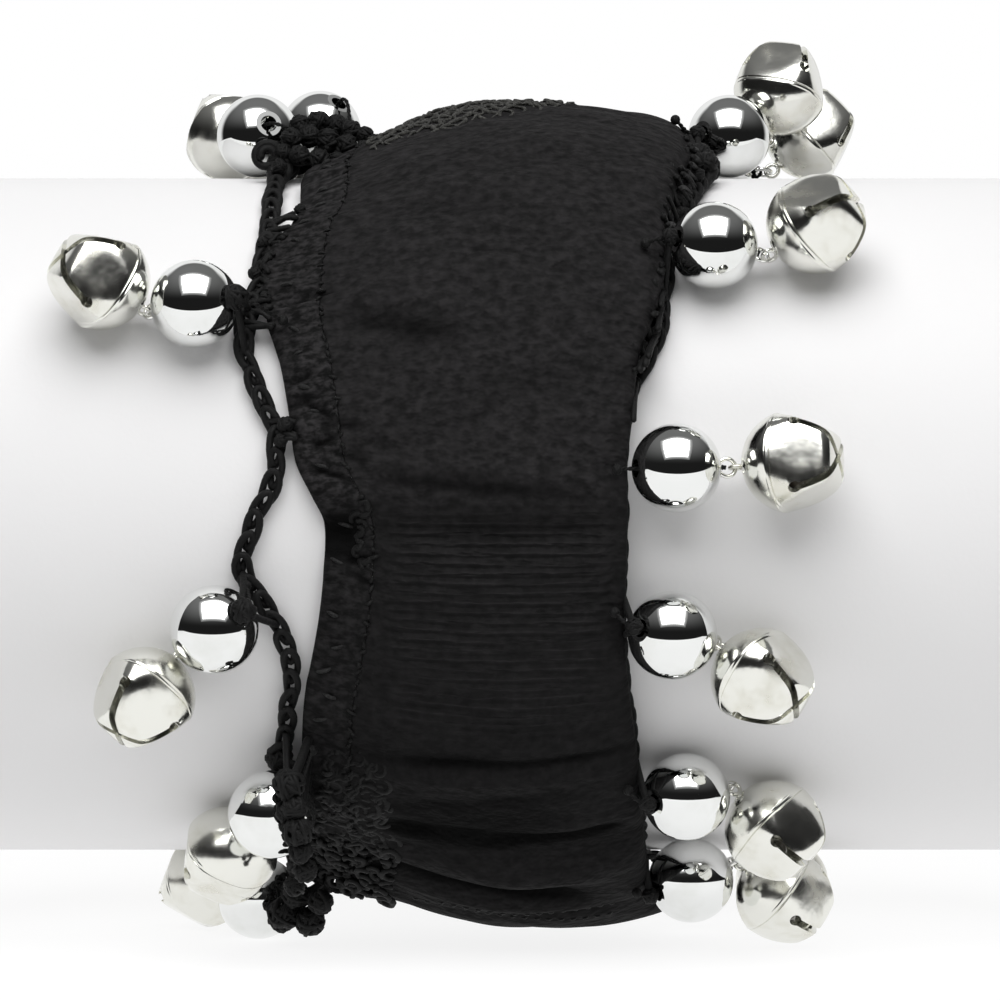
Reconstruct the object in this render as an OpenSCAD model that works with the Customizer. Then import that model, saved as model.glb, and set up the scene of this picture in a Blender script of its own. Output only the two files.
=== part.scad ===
// Stretch cuff bracelet of puffed knit cloth with corded edges, on its display tube.
// Each edge carries drops: a round bead, a small jump ring and a jingle bell.
// The tube's axis runs along X. Angles turn about it: 0 faces the front (-Y), 90 is the top.
// Heights are measured outward from the tube's surface, and the lowest bells rest at Z = 0.

/* [Display tube] */
// Outside diameter of the display tube
tube_d = 65; // [64:0.5:66]
// Length of the display tube
tube_len = 120; // [110:1:140]
// Wall of the display tube
tube_wall = 3; // [2:0.5:4]
// Clear height of the tube's underside above the surface that the lowest bells rest on
tube_clear = 8.7; // [8.7:0.1:8.8]

/* [Cloth cuff] */
// Thickness of the knit cloth
cloth_wall = 1.6; // [1.2:0.1:1.7]
// Width of the sewn hem along the left edge
hem_w = 4.4; // [3.5:0.1:5]
// How far the hem stands proud of the cloth beside it
hem_proud = 0.25; // [0.1:0.05:0.4]
// Place of the cuff's crest, as a share of its width from the left edge
crest_at = 0.62; // [0.5:0.01:0.7]

/* [Beads] */
// Diameter of a bead
bead_d = 8; // [7.8:0.05:8]
// Length of a bead along its hole
bead_len = 7.6; // [7.4:0.1:7.7]
// Diameter of the hole through a bead
bead_hole_d = 1.6; // [1.6:0.05:1.8]

/* [Bells] */
// Diameter of a jingle bell
bell_d = 9.4; // [9.2:0.05:9.4]
// Thickness of a bell's domed wall
bell_wall = 0.6; // [0.5:0.05:0.7]
// Distance of a petal's flat from the bell's centre
petal_flat = 3.8; // [3.75:0.05:3.95]
// Distance of a bell's slotted end from its centre
petal_end = 4.3; // [4.2:0.05:4.35]
// Angle between the way a petal's flat faces and the bell's axis, in degrees
petal_slope = 67; // [65:1:70]
// Width of the crossed slots between the petals
slot_w = 0.7; // [0.5:0.05:0.9]
// Diameter of the loose pellet in a bell
pellet_d = 2.2; // [1.8:0.1:2.4]

/* [Findings and thread] */
// Mean diameter of a jump ring
ring_d = 1.6; // [1.5:0.05:1.7]
// Diameter of a jump ring's wire
ring_wire = 0.4; // [0.35:0.01:0.4]
// Diameter of the black thread through a bead
thread_d = 0.44; // [0.4:0.01:0.44]

/* [Hidden] */
tube_r = tube_d / 2;
axis_h = tube_r + tube_clear;
bead_r = bead_d / 2;
bell_r = bell_d / 2;
ring_r = ring_d / 2;
wire_r = ring_wire / 2;
thread_r = thread_d / 2;
loop_r = 0.65;           // mean radius of the loop on a bell
loop_wire_r = 0.2;
loop_past_pivot = 0.15;  // the loop's centre, beyond the ring's far wire
bell_step = 0.1;         // a bell's dome is that much smaller in radius than its barrel
barrel_from = -1;        // where the barrel starts, from the bell's centre
barrel_round = 0.4;      // the ball that rounds the barrel's end, beyond the bell's radius
ring_at = 3.93;          // the ring's near wire, from the bead's centre
pivot_at = ring_at + 2 * ring_r;   // and its far wire
strand_apart = thread_r + 0.04;    // half the space between the two runs in a bead's hole
turn_r = wire_r + thread_r + 0.13;   // radius of the thread's turn round the ring
pivot_to_bell = 0.8 + bell_r;     // from there to the bell's centre
gap = 0.15;              // left between neighbouring pieces
knot_r = 0.5;            // the thread's end knot
thread_sides = 6;
knot_inset = 1;          // the knot's place, in from the cloth's edge
knot_ahead = 3;          // and past the mouth, along the bead's hole
cord_swing = 3.5;        // a left cord farther out than this holds the knots itself
mouth_at = bead_len / 2 + 0.8;    // where the thread bends, from the bead's centre
turn_steps = 90;         // sections of the cloth round the tube
cloth_cols = 12;         // strips across the cloth
hem_cols = 3;
cord_sides = 8;
cord_steps = 72;

// The cloth's edges and the heights of its outer face over the tube.
// Columns: angle, left edge x, right edge x, left rise, crest rise, right rise
CLOTH = [
    [-180, -18.3, 13.6, 2.0, 6.4, 3.8],
    [-155, -18.3, 13.4, 2.0, 6.5, 3.8],
    [-130, -17.6, 13.6, 2.0, 6.8, 4.2],
    [-110, -17.0, 14.0, 2.1, 7.1, 4.8],
    [ -98, -16.6, 14.3, 2.2, 7.4, 5.4],
    [ -90, -16.5, 16.2, 2.2, 7.5, 5.6],
    [ -82, -16.6, 15.8, 2.2, 7.5, 5.4],
    [ -75, -16.6, 13.9, 2.1, 7.3, 4.9],
    [ -66, -16.9, 13.8, 2.0, 7.1, 4.6],
    [ -55, -17.8, 13.4, 2.0, 6.9, 4.3],
    [ -45, -18.1, 12.8, 2.0, 6.7, 4.1],
    [ -36, -18.0, 12.4, 1.9, 6.4, 3.9],
    [ -28, -17.6, 11.8, 1.9, 6.1, 3.8],
    [ -22, -16.9, 11.4, 1.9, 5.8, 3.8],
    [ -15, -16.2, 11.2, 1.9, 5.6, 3.8],
    [  -8, -15.8, 11.3, 1.9, 5.5, 3.8],
    [  -1, -15.8, 11.4, 1.9, 5.4, 3.8],
    [   3, -16.9, 11.4, 1.9, 6.4, 3.8],
    [   8, -18.3, 11.4, 1.9, 6.6, 3.8],
    [  15, -18.9, 11.9, 1.9, 6.6, 3.8],
    [  24, -19.8, 12.5, 1.9, 6.6, 3.8],
    [  30, -20.6, 13.5, 1.9, 6.6, 3.8],
    [  38, -20.6, 14.1, 1.9, 6.7, 3.9],
    [  46, -20.2, 14.4, 1.9, 6.8, 4.0],
    [  55, -18.7, 16.0, 1.9, 7.0, 4.0],
    [  70, -18.6, 17.3, 1.9, 7.2, 4.0],
    [  82, -16.6, 17.8, 1.9, 7.4, 4.1],
    [  94, -15.6, 17.6, 1.9, 7.3, 4.1],
    [ 108, -15.8, 16.4, 1.9, 7.0, 4.0],
    [ 125, -17.3, 14.8, 1.9, 6.7, 3.9],
    [ 150, -18.3, 13.8, 2.0, 6.5, 3.8],
];

// Creases pressed into the cloth, each running along X.
// Columns: angle, middle x, half length, half width in degrees, depth, lean in degrees per mm
CREASES = [
    [-54,   1,   12,  2.6, 1.5,  0.15],
    [-64,  -1,   10,  2.4, 1.1, -0.10],
    [-75,   2,   13,  2.0, 0.5,  0.10],
    [ -2,  -1,   14,  1.8, 0.5,  0.00],
    [ 25,  -3,    8,  4.0, 0.4,  0.10],
    [ 40,   3,    7,  1.6, 0.3, -0.20],
    [-36,  -8,    7,  2.5, 0.5,  0.20],
    [120,   0,   12,  3.0, 0.8,  0.10],
    [168,   1,   12,  2.6, 0.7, -0.10],
    [-140,  0,   12,  3.0, 0.8,  0.10],
];

// The corded edging left of the cloth. It swings out to each drop and back to the hem.
// Columns: angle, x, radius of the cord (larger at a knot)
LEFT_CORD = [
    [-180, -20.4, 1.0],
    [-172, -21.6, 1.0],
    [-165, -22.8, 1.0],
    [-158, -21.4, 1.0],
    [-142, -19.8, 1.0],
    [-126, -20.4, 1.0],
    [-117, -20.6, 1.0],
    [-108, -19.6, 1.0],
    [ -98, -19.2, 1.0],
    [ -91, -18.6, 1.1],
    [ -84, -18.9, 1.5],
    [ -80, -18.7, 1.2],
    [ -75, -18.8, 1.5],
    [ -70, -18.5, 1.0],
    [ -60, -19.1, 1.0],
    [ -52, -20.0, 1.5],
    [ -47, -19.8, 1.1],
    [ -41, -20.2, 1.2],
    [ -37, -19.6, 1.0],
    [ -30, -19.1, 1.0],
    [ -24, -18.8, 1.0],
    [ -18, -19.8, 1.0],
    [ -15, -20.6, 1.1],
    [  -9, -23.0, 1.0],
    [  -5, -22.8, 1.0],
    [   0, -21.8, 1.0],
    [   5, -20.4, 1.0],
    [  11, -20.0, 1.0],
    [  15, -20.6, 1.0],
    [  20, -21.9, 1.0],
    [  26, -23.0, 1.0],
    [  31, -23.1, 1.0],
    [  38, -22.1, 1.0],
    [  50, -21.4, 1.0],
    [  60, -21.3, 1.0],
    [  70, -21.1, 1.0],
    [  77, -20.7, 1.5],
    [  83, -18.9, 1.1],
    [  90, -17.9, 1.0],
    [  97, -17.8, 1.2],
    [ 105, -18.0, 1.0],
    [ 118, -19.6, 1.0],
    [ 135, -20.4, 1.0],
    [ 143, -21.6, 1.0],
    [ 150, -22.6, 1.0],
    [ 157, -21.6, 1.0],
    [ 168, -20.2, 1.0],
];

// The corded edging right of the cloth: scalloped at the top, and tucked under the edge elsewhere.
// Columns: angle, x past the cloth's edge, radius of the cord
RIGHT_CORD = [
    [-180, -0.5, 0.7],
    [-120, -0.5, 0.7],
    [ -94, -0.6, 0.7],
    [ -60, -0.5, 0.7],
    [   0, -0.5, 0.7],
    [  18, -0.5, 0.7],
    [  24,  0.6, 0.8],
    [  29,  0.9, 0.9],
    [  35,  0.9, 0.8],
    [  45,  1.1, 0.8],
    [  53,  0.9, 0.8],
    [  62,  1.2, 0.9],
    [  68,  1.6, 1.0],
    [  75,  1.9, 1.4],
    [  81,  0.9, 0.8],
    [  88,  0.4, 0.7],
    [ 104,  0.6, 0.8],
    [ 115,  0.4, 0.7],
    [ 130, -0.5, 0.7],
];

// The drops. A bead height of 0 stands the bead on the surface below, and a bell's likewise.
// Columns: bead x, bead angle, bead height, bell x, bell angle, bell height, turn of the petals
LEFT_DROPS = [
    [-23.4,   87,   4.1, -26.8,  102,   5.7,  10],
    [-27.5,   31.3, 4.1, -36.1,   34.4, 5.1,  66],
    [-25.5,  -16.2, 4.1, -31.85, -25.9, 4.95,  0],
    [-20.7,  -43.7, 6.8, -25.2,  -57.5, 4.9,  12],
    [-23.4,  -89,   0,   -29.4, -102,   4.7,  35],
    [-24.9, -128,   4.2, -28.6, -116,   7.85, 13],
    [-27.2, -165,   4.1, -35.4, -159,   4.85, 85],
    [-27.0,  150,   4.1, -35.8,  147,   4.85,  5],
    [-17.8,  103.5, 6.5, -23.5,  116,   5.6,  15],
];
RIGHT_DROPS = [
    [22.2,   88,   4.1, 27.5,   95.5, 9.4,  25],
    [19.5,   42,   4.1, 28.8,   44.5, 5.3,  75],
    [15.7,    6.6, 4.1, 26.0,    7.3, 4.9,  84],
    [15.4,  -17,   4.1, 23.4,  -23,   4.95,  0],
    [17.0,  -44.6, 4.1, 25.2,  -50.5, 4.95, 10],
    [18.0,  -70,   4.2, 27.0,  -75.5, 4.99, 85],
    [18.6, -101,   4.4, 28.0, -106,   5.58, 55],
    [18.0, -136,   4.1, 27.2, -133,   4.85,  5],
    [17.8, -172,   4.1, 27.4, -175,   4.85, 15],
    [18.2,  152,   4.1, 27.4,  149,   4.85, 80],
    [21.8,  112,   4.2, 31.0,  107.6, 7.3,  20],
];

// Vectors and places round the tube.
function unit(v) = v / norm(v);
function on_tube(x, angle, height) =
    let (r = tube_r + height) [x, -r * cos(angle), axis_h + r * sin(angle)];
function outward(angle) = [0, -cos(angle), sin(angle)];

// A smooth closed curve through one column of a table whose first column is the angle.
function row_angle(t, i) = t[(i + len(t)) % len(t)][0] + 360 * floor(i / len(t));
function row_value(t, i, c) = t[(i + len(t)) % len(t)][c];
function row_slope(t, i, c) =
    (row_value(t, i + 1, c) - row_value(t, i - 1, c)) / (row_angle(t, i + 1) - row_angle(t, i - 1));
function last_row(t, angle) = max([for (i = [0:len(t) - 1]) if (t[i][0] <= angle) i]);
function wrapped(angle) = angle - 360 * floor((angle + 180) / 360);
function smooth(t, raw, c) =
    let (
        angle = wrapped(raw),
        i = last_row(t, angle),
        h = row_angle(t, i + 1) - row_angle(t, i),
        u = (angle - row_angle(t, i)) / h,
        a = row_value(t, i, c),
        b = row_value(t, i + 1, c),
        ma = row_slope(t, i, c) * h,
        mb = row_slope(t, i + 1, c) * h
    )
    (2 * u * u * u - 3 * u * u + 1) * a + (u * u * u - 2 * u * u + u) * ma
        + (3 * u * u - 2 * u * u * u) * b + (u * u * u - u * u) * mb;

// The cloth's outer face: an arch from the left edge over the crest to the right edge.
function edge_left(angle) = smooth(CLOTH, angle, 1);
function edge_right(angle) = smooth(CLOTH, angle, 2);
function arch(u, left, crest, right) =
    u < crest_at
        ? left + (crest - left) * sin(90 * u / crest_at)
        : right + (crest - right) * pow(max(0, cos(90 * (u - crest_at) / (1 - crest_at))), 0.6);
function crease(angle, x, c) =
    let (
        off = (wrapped(angle - c[0] - c[5] * (x - c[1]))) / c[3],
        along = (x - c[1]) / c[2]
    )
    c[4] * exp(-off * off) * exp(-pow(along, 4));
function creases(angle, x) = [for (c = CREASES) crease(angle, x, c)] * [for (c = CREASES) 1];
function cloth_height(angle, x) =
    let (u = (x - edge_left(angle)) / (edge_right(angle) - edge_left(angle)))
    arch(u, smooth(CLOTH, angle, 3), smooth(CLOTH, angle, 4), smooth(CLOTH, angle, 5))
        - creases(angle, x);

// A closed band of cloth between two shares of its width. Each section runs out along the
// outer face and back along the inner one.
function band_section(angle, from_x, to_x, cols, lift) = concat(
    [for (j = [0:cols]) let (x = from_x + (to_x - from_x) * j / cols)
        on_tube(x, angle, cloth_height(angle, x) + lift)],
    [for (j = [cols:-1:0]) let (x = from_x + (to_x - from_x) * j / cols)
        on_tube(x, angle, max(gap, cloth_height(angle, x) - cloth_wall))]
);
// Triangles between closed rings of points that follow one another round the tube.
function ring_faces(rings, n) = [
    for (i = [0:rings - 1], j = [0:n - 1])
        let (
            a = i * n + j,
            b = i * n + (j + 1) % n,
            c = ((i + 1) % rings) * n + j,
            d = ((i + 1) % rings) * n + (j + 1) % n
        )
        each [[a, b, d], [a, d, c]]
];
function band_points(angles, hem, cols, lift) = [
    for (angle = angles)
        let (left = edge_left(angle), seam = left + hem_w)
        each band_section(angle, hem ? left : seam + gap, hem ? seam : edge_right(angle), cols, lift)
];
module band(hem, cols, lift) {
    angles = [for (k = [0:turn_steps - 1]) -180 + 360 * k / turn_steps];
    polyhedron(band_points(angles, hem, cols, lift), ring_faces(turn_steps, 2 * cols + 2));
}

// A closed cord swept round the tube, lying on it.
function left_cord_at(angle) =
    let (r = smooth(LEFT_CORD, angle, 2)) on_tube(smooth(LEFT_CORD, angle, 1), angle, gap + r);
function right_cord_at(angle) =
    let (r = smooth(RIGHT_CORD, angle, 2))
    on_tube(edge_right(angle) + smooth(RIGHT_CORD, angle, 1), angle, gap + r);
function round_section(centre, ahead, out, r, sides) =
    let (
        side = unit(cross(ahead, out)),
        up = cross(side, ahead)
    )
    [for (k = [0:sides - 1]) let (t = 360 * k / sides) centre + r * (cos(t) * side + sin(t) * up)];
module cord(left) {
    half_step = 180 / cord_steps;
    points = [
        for (k = [0:cord_steps - 1])
            let (
                angle = -180 + 360 * k / cord_steps,
                centre = left ? left_cord_at(angle) : right_cord_at(angle),
                after = left ? left_cord_at(angle + half_step) : right_cord_at(angle + half_step),
                before = left ? left_cord_at(angle - half_step) : right_cord_at(angle - half_step),
                r = smooth(left ? LEFT_CORD : RIGHT_CORD, angle, 2)
            )
            each round_section(centre, unit(after - before), outward(angle), r, cord_sides)
    ];
    polyhedron(points, ring_faces(cord_steps, cord_sides));
}

// The pieces of a drop, worked out from its row: the bead's centre, the pivot where the ring
// holds the bell's loop, and the bell's centre. The pivot sinks towards the tube.
function stood(angle, r) = (axis_h - r) / sin(-angle) - tube_r;
function bead_centre(d) = on_tube(d[0], d[1], d[2] == 0 ? stood(d[1], bead_r) : d[2]);
function bell_centre(d) = on_tube(d[3], d[4], d[5] == 0 ? stood(d[4], bell_r) : d[5]);
function pivot(d) =
    let (
        span = bell_centre(d) - bead_centre(d),
        e = unit(span),
        len = norm(span),
        foot = (pivot_at * pivot_at - pivot_to_bell * pivot_to_bell + len * len) / (2 * len),
        sink = sqrt(max(0, pivot_at * pivot_at - foot * foot)),
        inward = -outward((d[1] + d[4]) / 2),
        w = unit(inward - (inward * e) * e)
    )
    bead_centre(d) + foot * e + sink * w;
function bead_axis(d) = unit(pivot(d) - bead_centre(d));
function bell_axis(d) = unit(bell_centre(d) - pivot(d));
function bend_normal(d) =
    let (span = bell_centre(d) - bead_centre(d)) unit(cross(span, outward((d[1] + d[4]) / 2)));
// The thread leaves the bead at its mouth and ends in a knot on the cloth, ahead of the mouth.
function behind_bead(d, far) = bead_centre(d) - bead_axis(d) * far;
function angle_of(p) = atan2(p[2] - axis_h, -p[1]);
function anchor_angle(d) = angle_of(behind_bead(d, mouth_at + knot_ahead));
// On the left it is the hem, or the edging cord where that swings far out from the hem.
function left_anchor(d) =
    let (
        angle = anchor_angle(d),
        cord_x = smooth(LEFT_CORD, angle, 1),
        on_cord = edge_left(angle) - cord_x > cord_swing,
        x = on_cord ? cord_x : edge_left(angle) + knot_inset,
        top = on_cord ? gap + 2 * smooth(LEFT_CORD, angle, 2) : cloth_height(angle, x) + hem_proud
    )
    on_tube(x, angle, top + 2 * gap + knot_r);
function right_anchor(d) =
    let (angle = anchor_angle(d), x = edge_right(angle) - knot_inset)
    on_tube(x, angle, cloth_height(angle, x) + 2 * gap + knot_r);

// Puts children at p, with their z along ez and their x along ex.
module framed(p, ez, ex) {
    ey = cross(ez, ex);
    multmatrix([
        [ex[0], ey[0], ez[0], p[0]],
        [ex[1], ey[1], ez[1], p[1]],
        [ex[2], ey[2], ez[2], p[2]],
        [0, 0, 0, 1]
    ]) children();
}
module torus(mean_r, wire) {
    rotate_extrude($fn = 48) translate([mean_r, 0]) circle(wire, $fn = 24);
}

module display_tube() {
    color("white") translate([-tube_len / 2, 0, axis_h]) rotate([0, 90, 0]) difference() {
        cylinder(tube_len, tube_r, tube_r, $fn = 128);
        translate([0, 0, -1]) cylinder(tube_len + 2, tube_r - tube_wall, tube_r - tube_wall, $fn = 128);
    }
}
module cloth_band() { color([0.12, 0.11, 0.12]) band(false, cloth_cols, 0); }
module left_hem() { color([0.14, 0.13, 0.14]) band(true, hem_cols, hem_proud); }
module left_edging_cord() { color([0.08, 0.08, 0.08]) cord(true); }
module right_edging_cord() { color([0.08, 0.08, 0.08]) cord(false); }

module bead(d) {
    color("silver") framed(bead_centre(d), bead_axis(d), bend_normal(d)) difference() {
        intersection() {
            sphere(bead_r, $fn = 64);
            cube([bead_d + 2, bead_d + 2, bead_len], center = true);
        }
        cylinder(bead_d + 2, bead_hole_d / 2, bead_hole_d / 2, center = true, $fn = 32);
    }
}

// A bell with its dome's pole at -Z, its petals at +Z and its loop beyond the pole.
module petal_flats(at, end) {
    for (k = [0:3]) rotate([0, 0, 90 * k]) rotate([0, petal_slope - 90, 0])
        translate([at, -bell_d, -bell_d]) cube([bell_d, 2 * bell_d, 2 * bell_d]);
    translate([-bell_d, -bell_d, end]) cube([2 * bell_d, 2 * bell_d, bell_d]);
}
// A bell's whole form, drawn in by a wall's thickness: a dome under a barrel whose rim stands
// proud of it, with four leaning flats and a cut end.
module bell_form(wall) {
    difference() {
        union() {
            sphere(bell_r - bell_step - wall, $fn = 64);
            intersection() {
                translate([0, 0, barrel_from + wall]) cylinder(bell_d, bell_r - wall, bell_r - wall, $fn = 96);
                sphere(bell_r + barrel_round - wall, $fn = 64);
            }
        }
        petal_flats(petal_flat - wall, petal_end - wall);
    }
}
module bell_slots() {
    slot_from = 1.3;
    for (k = [0:1]) rotate([0, 0, 45 + 90 * k]) {
        translate([-bell_d, -slot_w / 2, slot_from]) cube([2 * bell_d, slot_w, bell_r]);
        translate([0, 0, slot_from]) rotate([0, 90, 0])
            cylinder(2 * bell_r + 2, slot_w * 0.8, slot_w * 0.8, center = true, $fn = 24);
    }
}
module bell(d) {
    color([0.86, 0.86, 0.82]) framed(bell_centre(d), bell_axis(d), bend_normal(d)) union() {
        rotate([0, 0, d[6]]) difference() {
            bell_form(0);
            bell_form(bell_wall);
            bell_slots();
        }
        translate([0, 0, loop_past_pivot - pivot_to_bell]) rotate([0, 90, 0]) torus(loop_r, loop_wire_r);
    }
}

// A thread: from its knot through the bead, round the jump ring and back into the bead.
// Columns: distance from the knot's middle towards the bead, radius
KNOT = [
    [-0.50, 0.15],
    [-0.30, 0.42],
    [ 0.00, knot_r],
    [ 0.32, 0.42],
    [ 0.52, thread_r],
];
function strand(d, side, along) =
    bead_centre(d) + bead_axis(d) * along + cross(bead_axis(d), bend_normal(d)) * side;
function thread_path(d, anchor) =
    let (
        mouth = strand(d, strand_apart, -mouth_at),
        to_mouth = unit(mouth - anchor)
    )
    concat(
        [for (k = KNOT) [anchor + to_mouth * k[0], k[1]]],
        [[mouth, thread_r], [strand(d, strand_apart, ring_at - 0.73), thread_r]],
        [for (t = [0:60:180]) [strand(d, turn_r * cos(t), ring_at + turn_r * sin(t)), thread_r]],
        [for (z = [ring_at - 0.73, -1]) [strand(d, -strand_apart, z), thread_r]]
    );
// Triangles of a tube of rings with n points each, closed at both ends.
function tube_faces(rings, n) = concat(
    [[for (j = [n - 1:-1:0]) j], [for (j = [0:n - 1]) (rings - 1) * n + j]],
    [
        for (i = [0:rings - 2], j = [0:n - 1])
            let (a = i * n + j, b = i * n + (j + 1) % n)
            each [[a, b, b + n], [a, b + n, a + n]]
    ]
);
module drop_thread(d, anchor) {
    path = thread_path(d, anchor);
    last = len(path) - 1;
    points = [
        for (i = [0:last])
            let (ahead = unit(path[min(i + 1, last)][0] - path[max(i - 1, 0)][0]))
            each round_section(path[i][0], ahead, bend_normal(d), path[i][1], thread_sides)
    ];
    polyhedron(points, tube_faces(last + 1, thread_sides));
}
module bead_threads() {
    color([0.08, 0.08, 0.08]) {
        for (d = LEFT_DROPS) drop_thread(d, left_anchor(d));
        for (d = RIGHT_DROPS) drop_thread(d, right_anchor(d));
    }
}
module jump_rings() {
    color("silver") for (d = concat(LEFT_DROPS, RIGHT_DROPS))
        framed(pivot(d) - ring_r * bead_axis(d), cross(bead_axis(d), bend_normal(d)), bead_axis(d))
            torus(ring_r, wire_r);
}
module bell_pellets() {
    color("dimgray") for (d = concat(LEFT_DROPS, RIGHT_DROPS))
        translate(bell_centre(d) - [0, 0, petal_flat - bell_wall - pellet_d / 2 - gap])
            sphere(pellet_d / 2, $fn = 32);
}

display_tube();
cloth_band();
left_hem();
left_edging_cord();
right_edging_cord();
bead_threads();
jump_rings();
bell_pellets();
for (i = [0:len(LEFT_DROPS) - 1]) {
    bead(LEFT_DROPS[i]);
    bell(LEFT_DROPS[i]);
}
for (i = [0:len(RIGHT_DROPS) - 1]) {
    bead(RIGHT_DROPS[i]);
    bell(RIGHT_DROPS[i]);
}
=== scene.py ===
"""Looks of the stretch cuff bracelet: knit cuff, crocheted edgings, beads and bells on a display tube."""
import math
import random

import bmesh
import bpy
import numpy as np
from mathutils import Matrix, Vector


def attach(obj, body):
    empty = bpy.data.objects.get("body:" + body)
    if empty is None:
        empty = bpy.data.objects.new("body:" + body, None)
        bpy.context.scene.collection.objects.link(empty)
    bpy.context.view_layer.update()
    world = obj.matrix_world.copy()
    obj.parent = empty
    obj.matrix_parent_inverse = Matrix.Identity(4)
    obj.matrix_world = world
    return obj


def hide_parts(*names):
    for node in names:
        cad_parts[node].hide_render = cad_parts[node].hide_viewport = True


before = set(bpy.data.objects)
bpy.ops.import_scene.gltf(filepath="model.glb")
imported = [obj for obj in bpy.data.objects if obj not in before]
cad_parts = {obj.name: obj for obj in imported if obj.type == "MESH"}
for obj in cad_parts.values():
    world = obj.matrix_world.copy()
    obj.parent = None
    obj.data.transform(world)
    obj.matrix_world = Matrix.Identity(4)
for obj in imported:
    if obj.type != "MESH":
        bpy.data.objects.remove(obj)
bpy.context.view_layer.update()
BODY = "root"

# Sizes of the part in millimetres, as in the part's source.
MM = 0.001
TUBE_R = 32.5
AXIS_H = 41.2
CLOTH_WALL = 1.6
HEM_W = 4.4
HEM_PROUD = 0.25
CREST_AT = 0.62
BEAD_R = 4.0
BEAD_LEN = 7.6
BELL_R = 4.7
BELL_WALL = 0.6
PETAL_FLAT = 3.8
PETAL_END = 4.3
PETAL_SLOPE = 67
BELL_STEP = 0.1
BARREL_FROM = -1.0
BARREL_ROUND = 0.4
SLOT_W = 0.7
RING_R = 0.8
WIRE_R = 0.2
THREAD_R = 0.22
LOOP_R = 0.65
LOOP_WIRE_R = 0.2
LOOP_PAST_PIVOT = 0.15
RING_AT = 3.93
PIVOT_AT = RING_AT + 2 * RING_R
STRAND_APART = THREAD_R + 0.04
TURN_R = WIRE_R + THREAD_R + 0.13
PIVOT_TO_BELL = 0.8 + BELL_R
GAP = 0.15
KNOT_R = 0.5
KNOT_INSET = 1.0
KNOT_AHEAD = 3.0
CORD_SWING = 3.5
MOUTH_AT = BEAD_LEN / 2 + 0.8
TURN_FROM = RING_AT - 0.73
SLOT_FROM = 1.3
HOLE_R = SLOT_W * 0.8

# Sizes of the scene's own detail. How far the hem is lifted, and how round borders and seam are.
HEM_LIFT = 0.03
EDGE_ROLL = CLOTH_WALL / 2
SEAM_ROLL = 0.02
# Least thickness of the cloth where a fold or a rounded border thins it.
LEAST_WALL = 0.02
# Radius at which stitches lie on the cloth and on the hem.
CLOTH_R = 38.0
HEM_R = 37
# Distance between the knit's ribs, and the rows of faces round the cloth.
RIB_PITCH = 0.89
CLOTH_ROWS = 720
# Puckers that the hem's stitches draw in round the cuff, and stitches in its seam.
GATHERS = round(2 * math.pi * TUBE_R / 2.45)
SEAM_STITCHES = 230
# x and angle of the motif's first curl, and the steps between its columns and its rows.
MOTIF_X, MOTIF_ANGLE = -16.4, -38.5
MOTIF_STEP_X, MOTIF_STEP_ANGLE = 1.15, 1.55
# x of the first strand of the net over the top, their number and spacing, and its cells in degrees.
NET_X = -12.0
NET_STRANDS = 24
NET_PITCH = 0.86
NET_CELL = 3.6
# Where the knot that ties a bead sits, from the bead's centre.
TIE_AT = BEAD_LEN / 2 + 0.75
# How many degrees the step at the rim of a bell's dome takes.
RIM_BLEND = 1.6

# Angle, left edge x, right edge x, left rise, crest rise, right rise of the cloth.
CLOTH = [
    [-180, -18.3, 13.6, 2.0, 6.4, 3.8],
    [-155, -18.3, 13.4, 2.0, 6.5, 3.8],
    [-130, -17.6, 13.6, 2.0, 6.8, 4.2],
    [-110, -17.0, 14.0, 2.1, 7.1, 4.8],
    [-98, -16.6, 14.3, 2.2, 7.4, 5.4],
    [-90, -16.5, 16.2, 2.2, 7.5, 5.6],
    [-82, -16.6, 15.8, 2.2, 7.5, 5.4],
    [-75, -16.6, 13.9, 2.1, 7.3, 4.9],
    [-66, -16.9, 13.8, 2.0, 7.1, 4.6],
    [-55, -17.8, 13.4, 2.0, 6.9, 4.3],
    [-45, -18.1, 12.8, 2.0, 6.7, 4.1],
    [-36, -18.0, 12.4, 1.9, 6.4, 3.9],
    [-28, -17.6, 11.8, 1.9, 6.1, 3.8],
    [-22, -16.9, 11.4, 1.9, 5.8, 3.8],
    [-15, -16.2, 11.2, 1.9, 5.6, 3.8],
    [-8, -15.8, 11.3, 1.9, 5.5, 3.8],
    [-1, -15.8, 11.4, 1.9, 5.4, 3.8],
    [3, -16.9, 11.4, 1.9, 6.4, 3.8],
    [8, -18.3, 11.4, 1.9, 6.6, 3.8],
    [15, -18.9, 11.9, 1.9, 6.6, 3.8],
    [24, -19.8, 12.5, 1.9, 6.6, 3.8],
    [30, -20.6, 13.5, 1.9, 6.6, 3.8],
    [38, -20.6, 14.1, 1.9, 6.7, 3.9],
    [46, -20.2, 14.4, 1.9, 6.8, 4.0],
    [55, -18.7, 16.0, 1.9, 7.0, 4.0],
    [70, -18.6, 17.3, 1.9, 7.2, 4.0],
    [82, -16.6, 17.8, 1.9, 7.4, 4.1],
    [94, -15.6, 17.6, 1.9, 7.3, 4.1],
    [108, -15.8, 16.4, 1.9, 7.0, 4.0],
    [125, -17.3, 14.8, 1.9, 6.7, 3.9],
    [150, -18.3, 13.8, 2.0, 6.5, 3.8],
]
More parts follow.
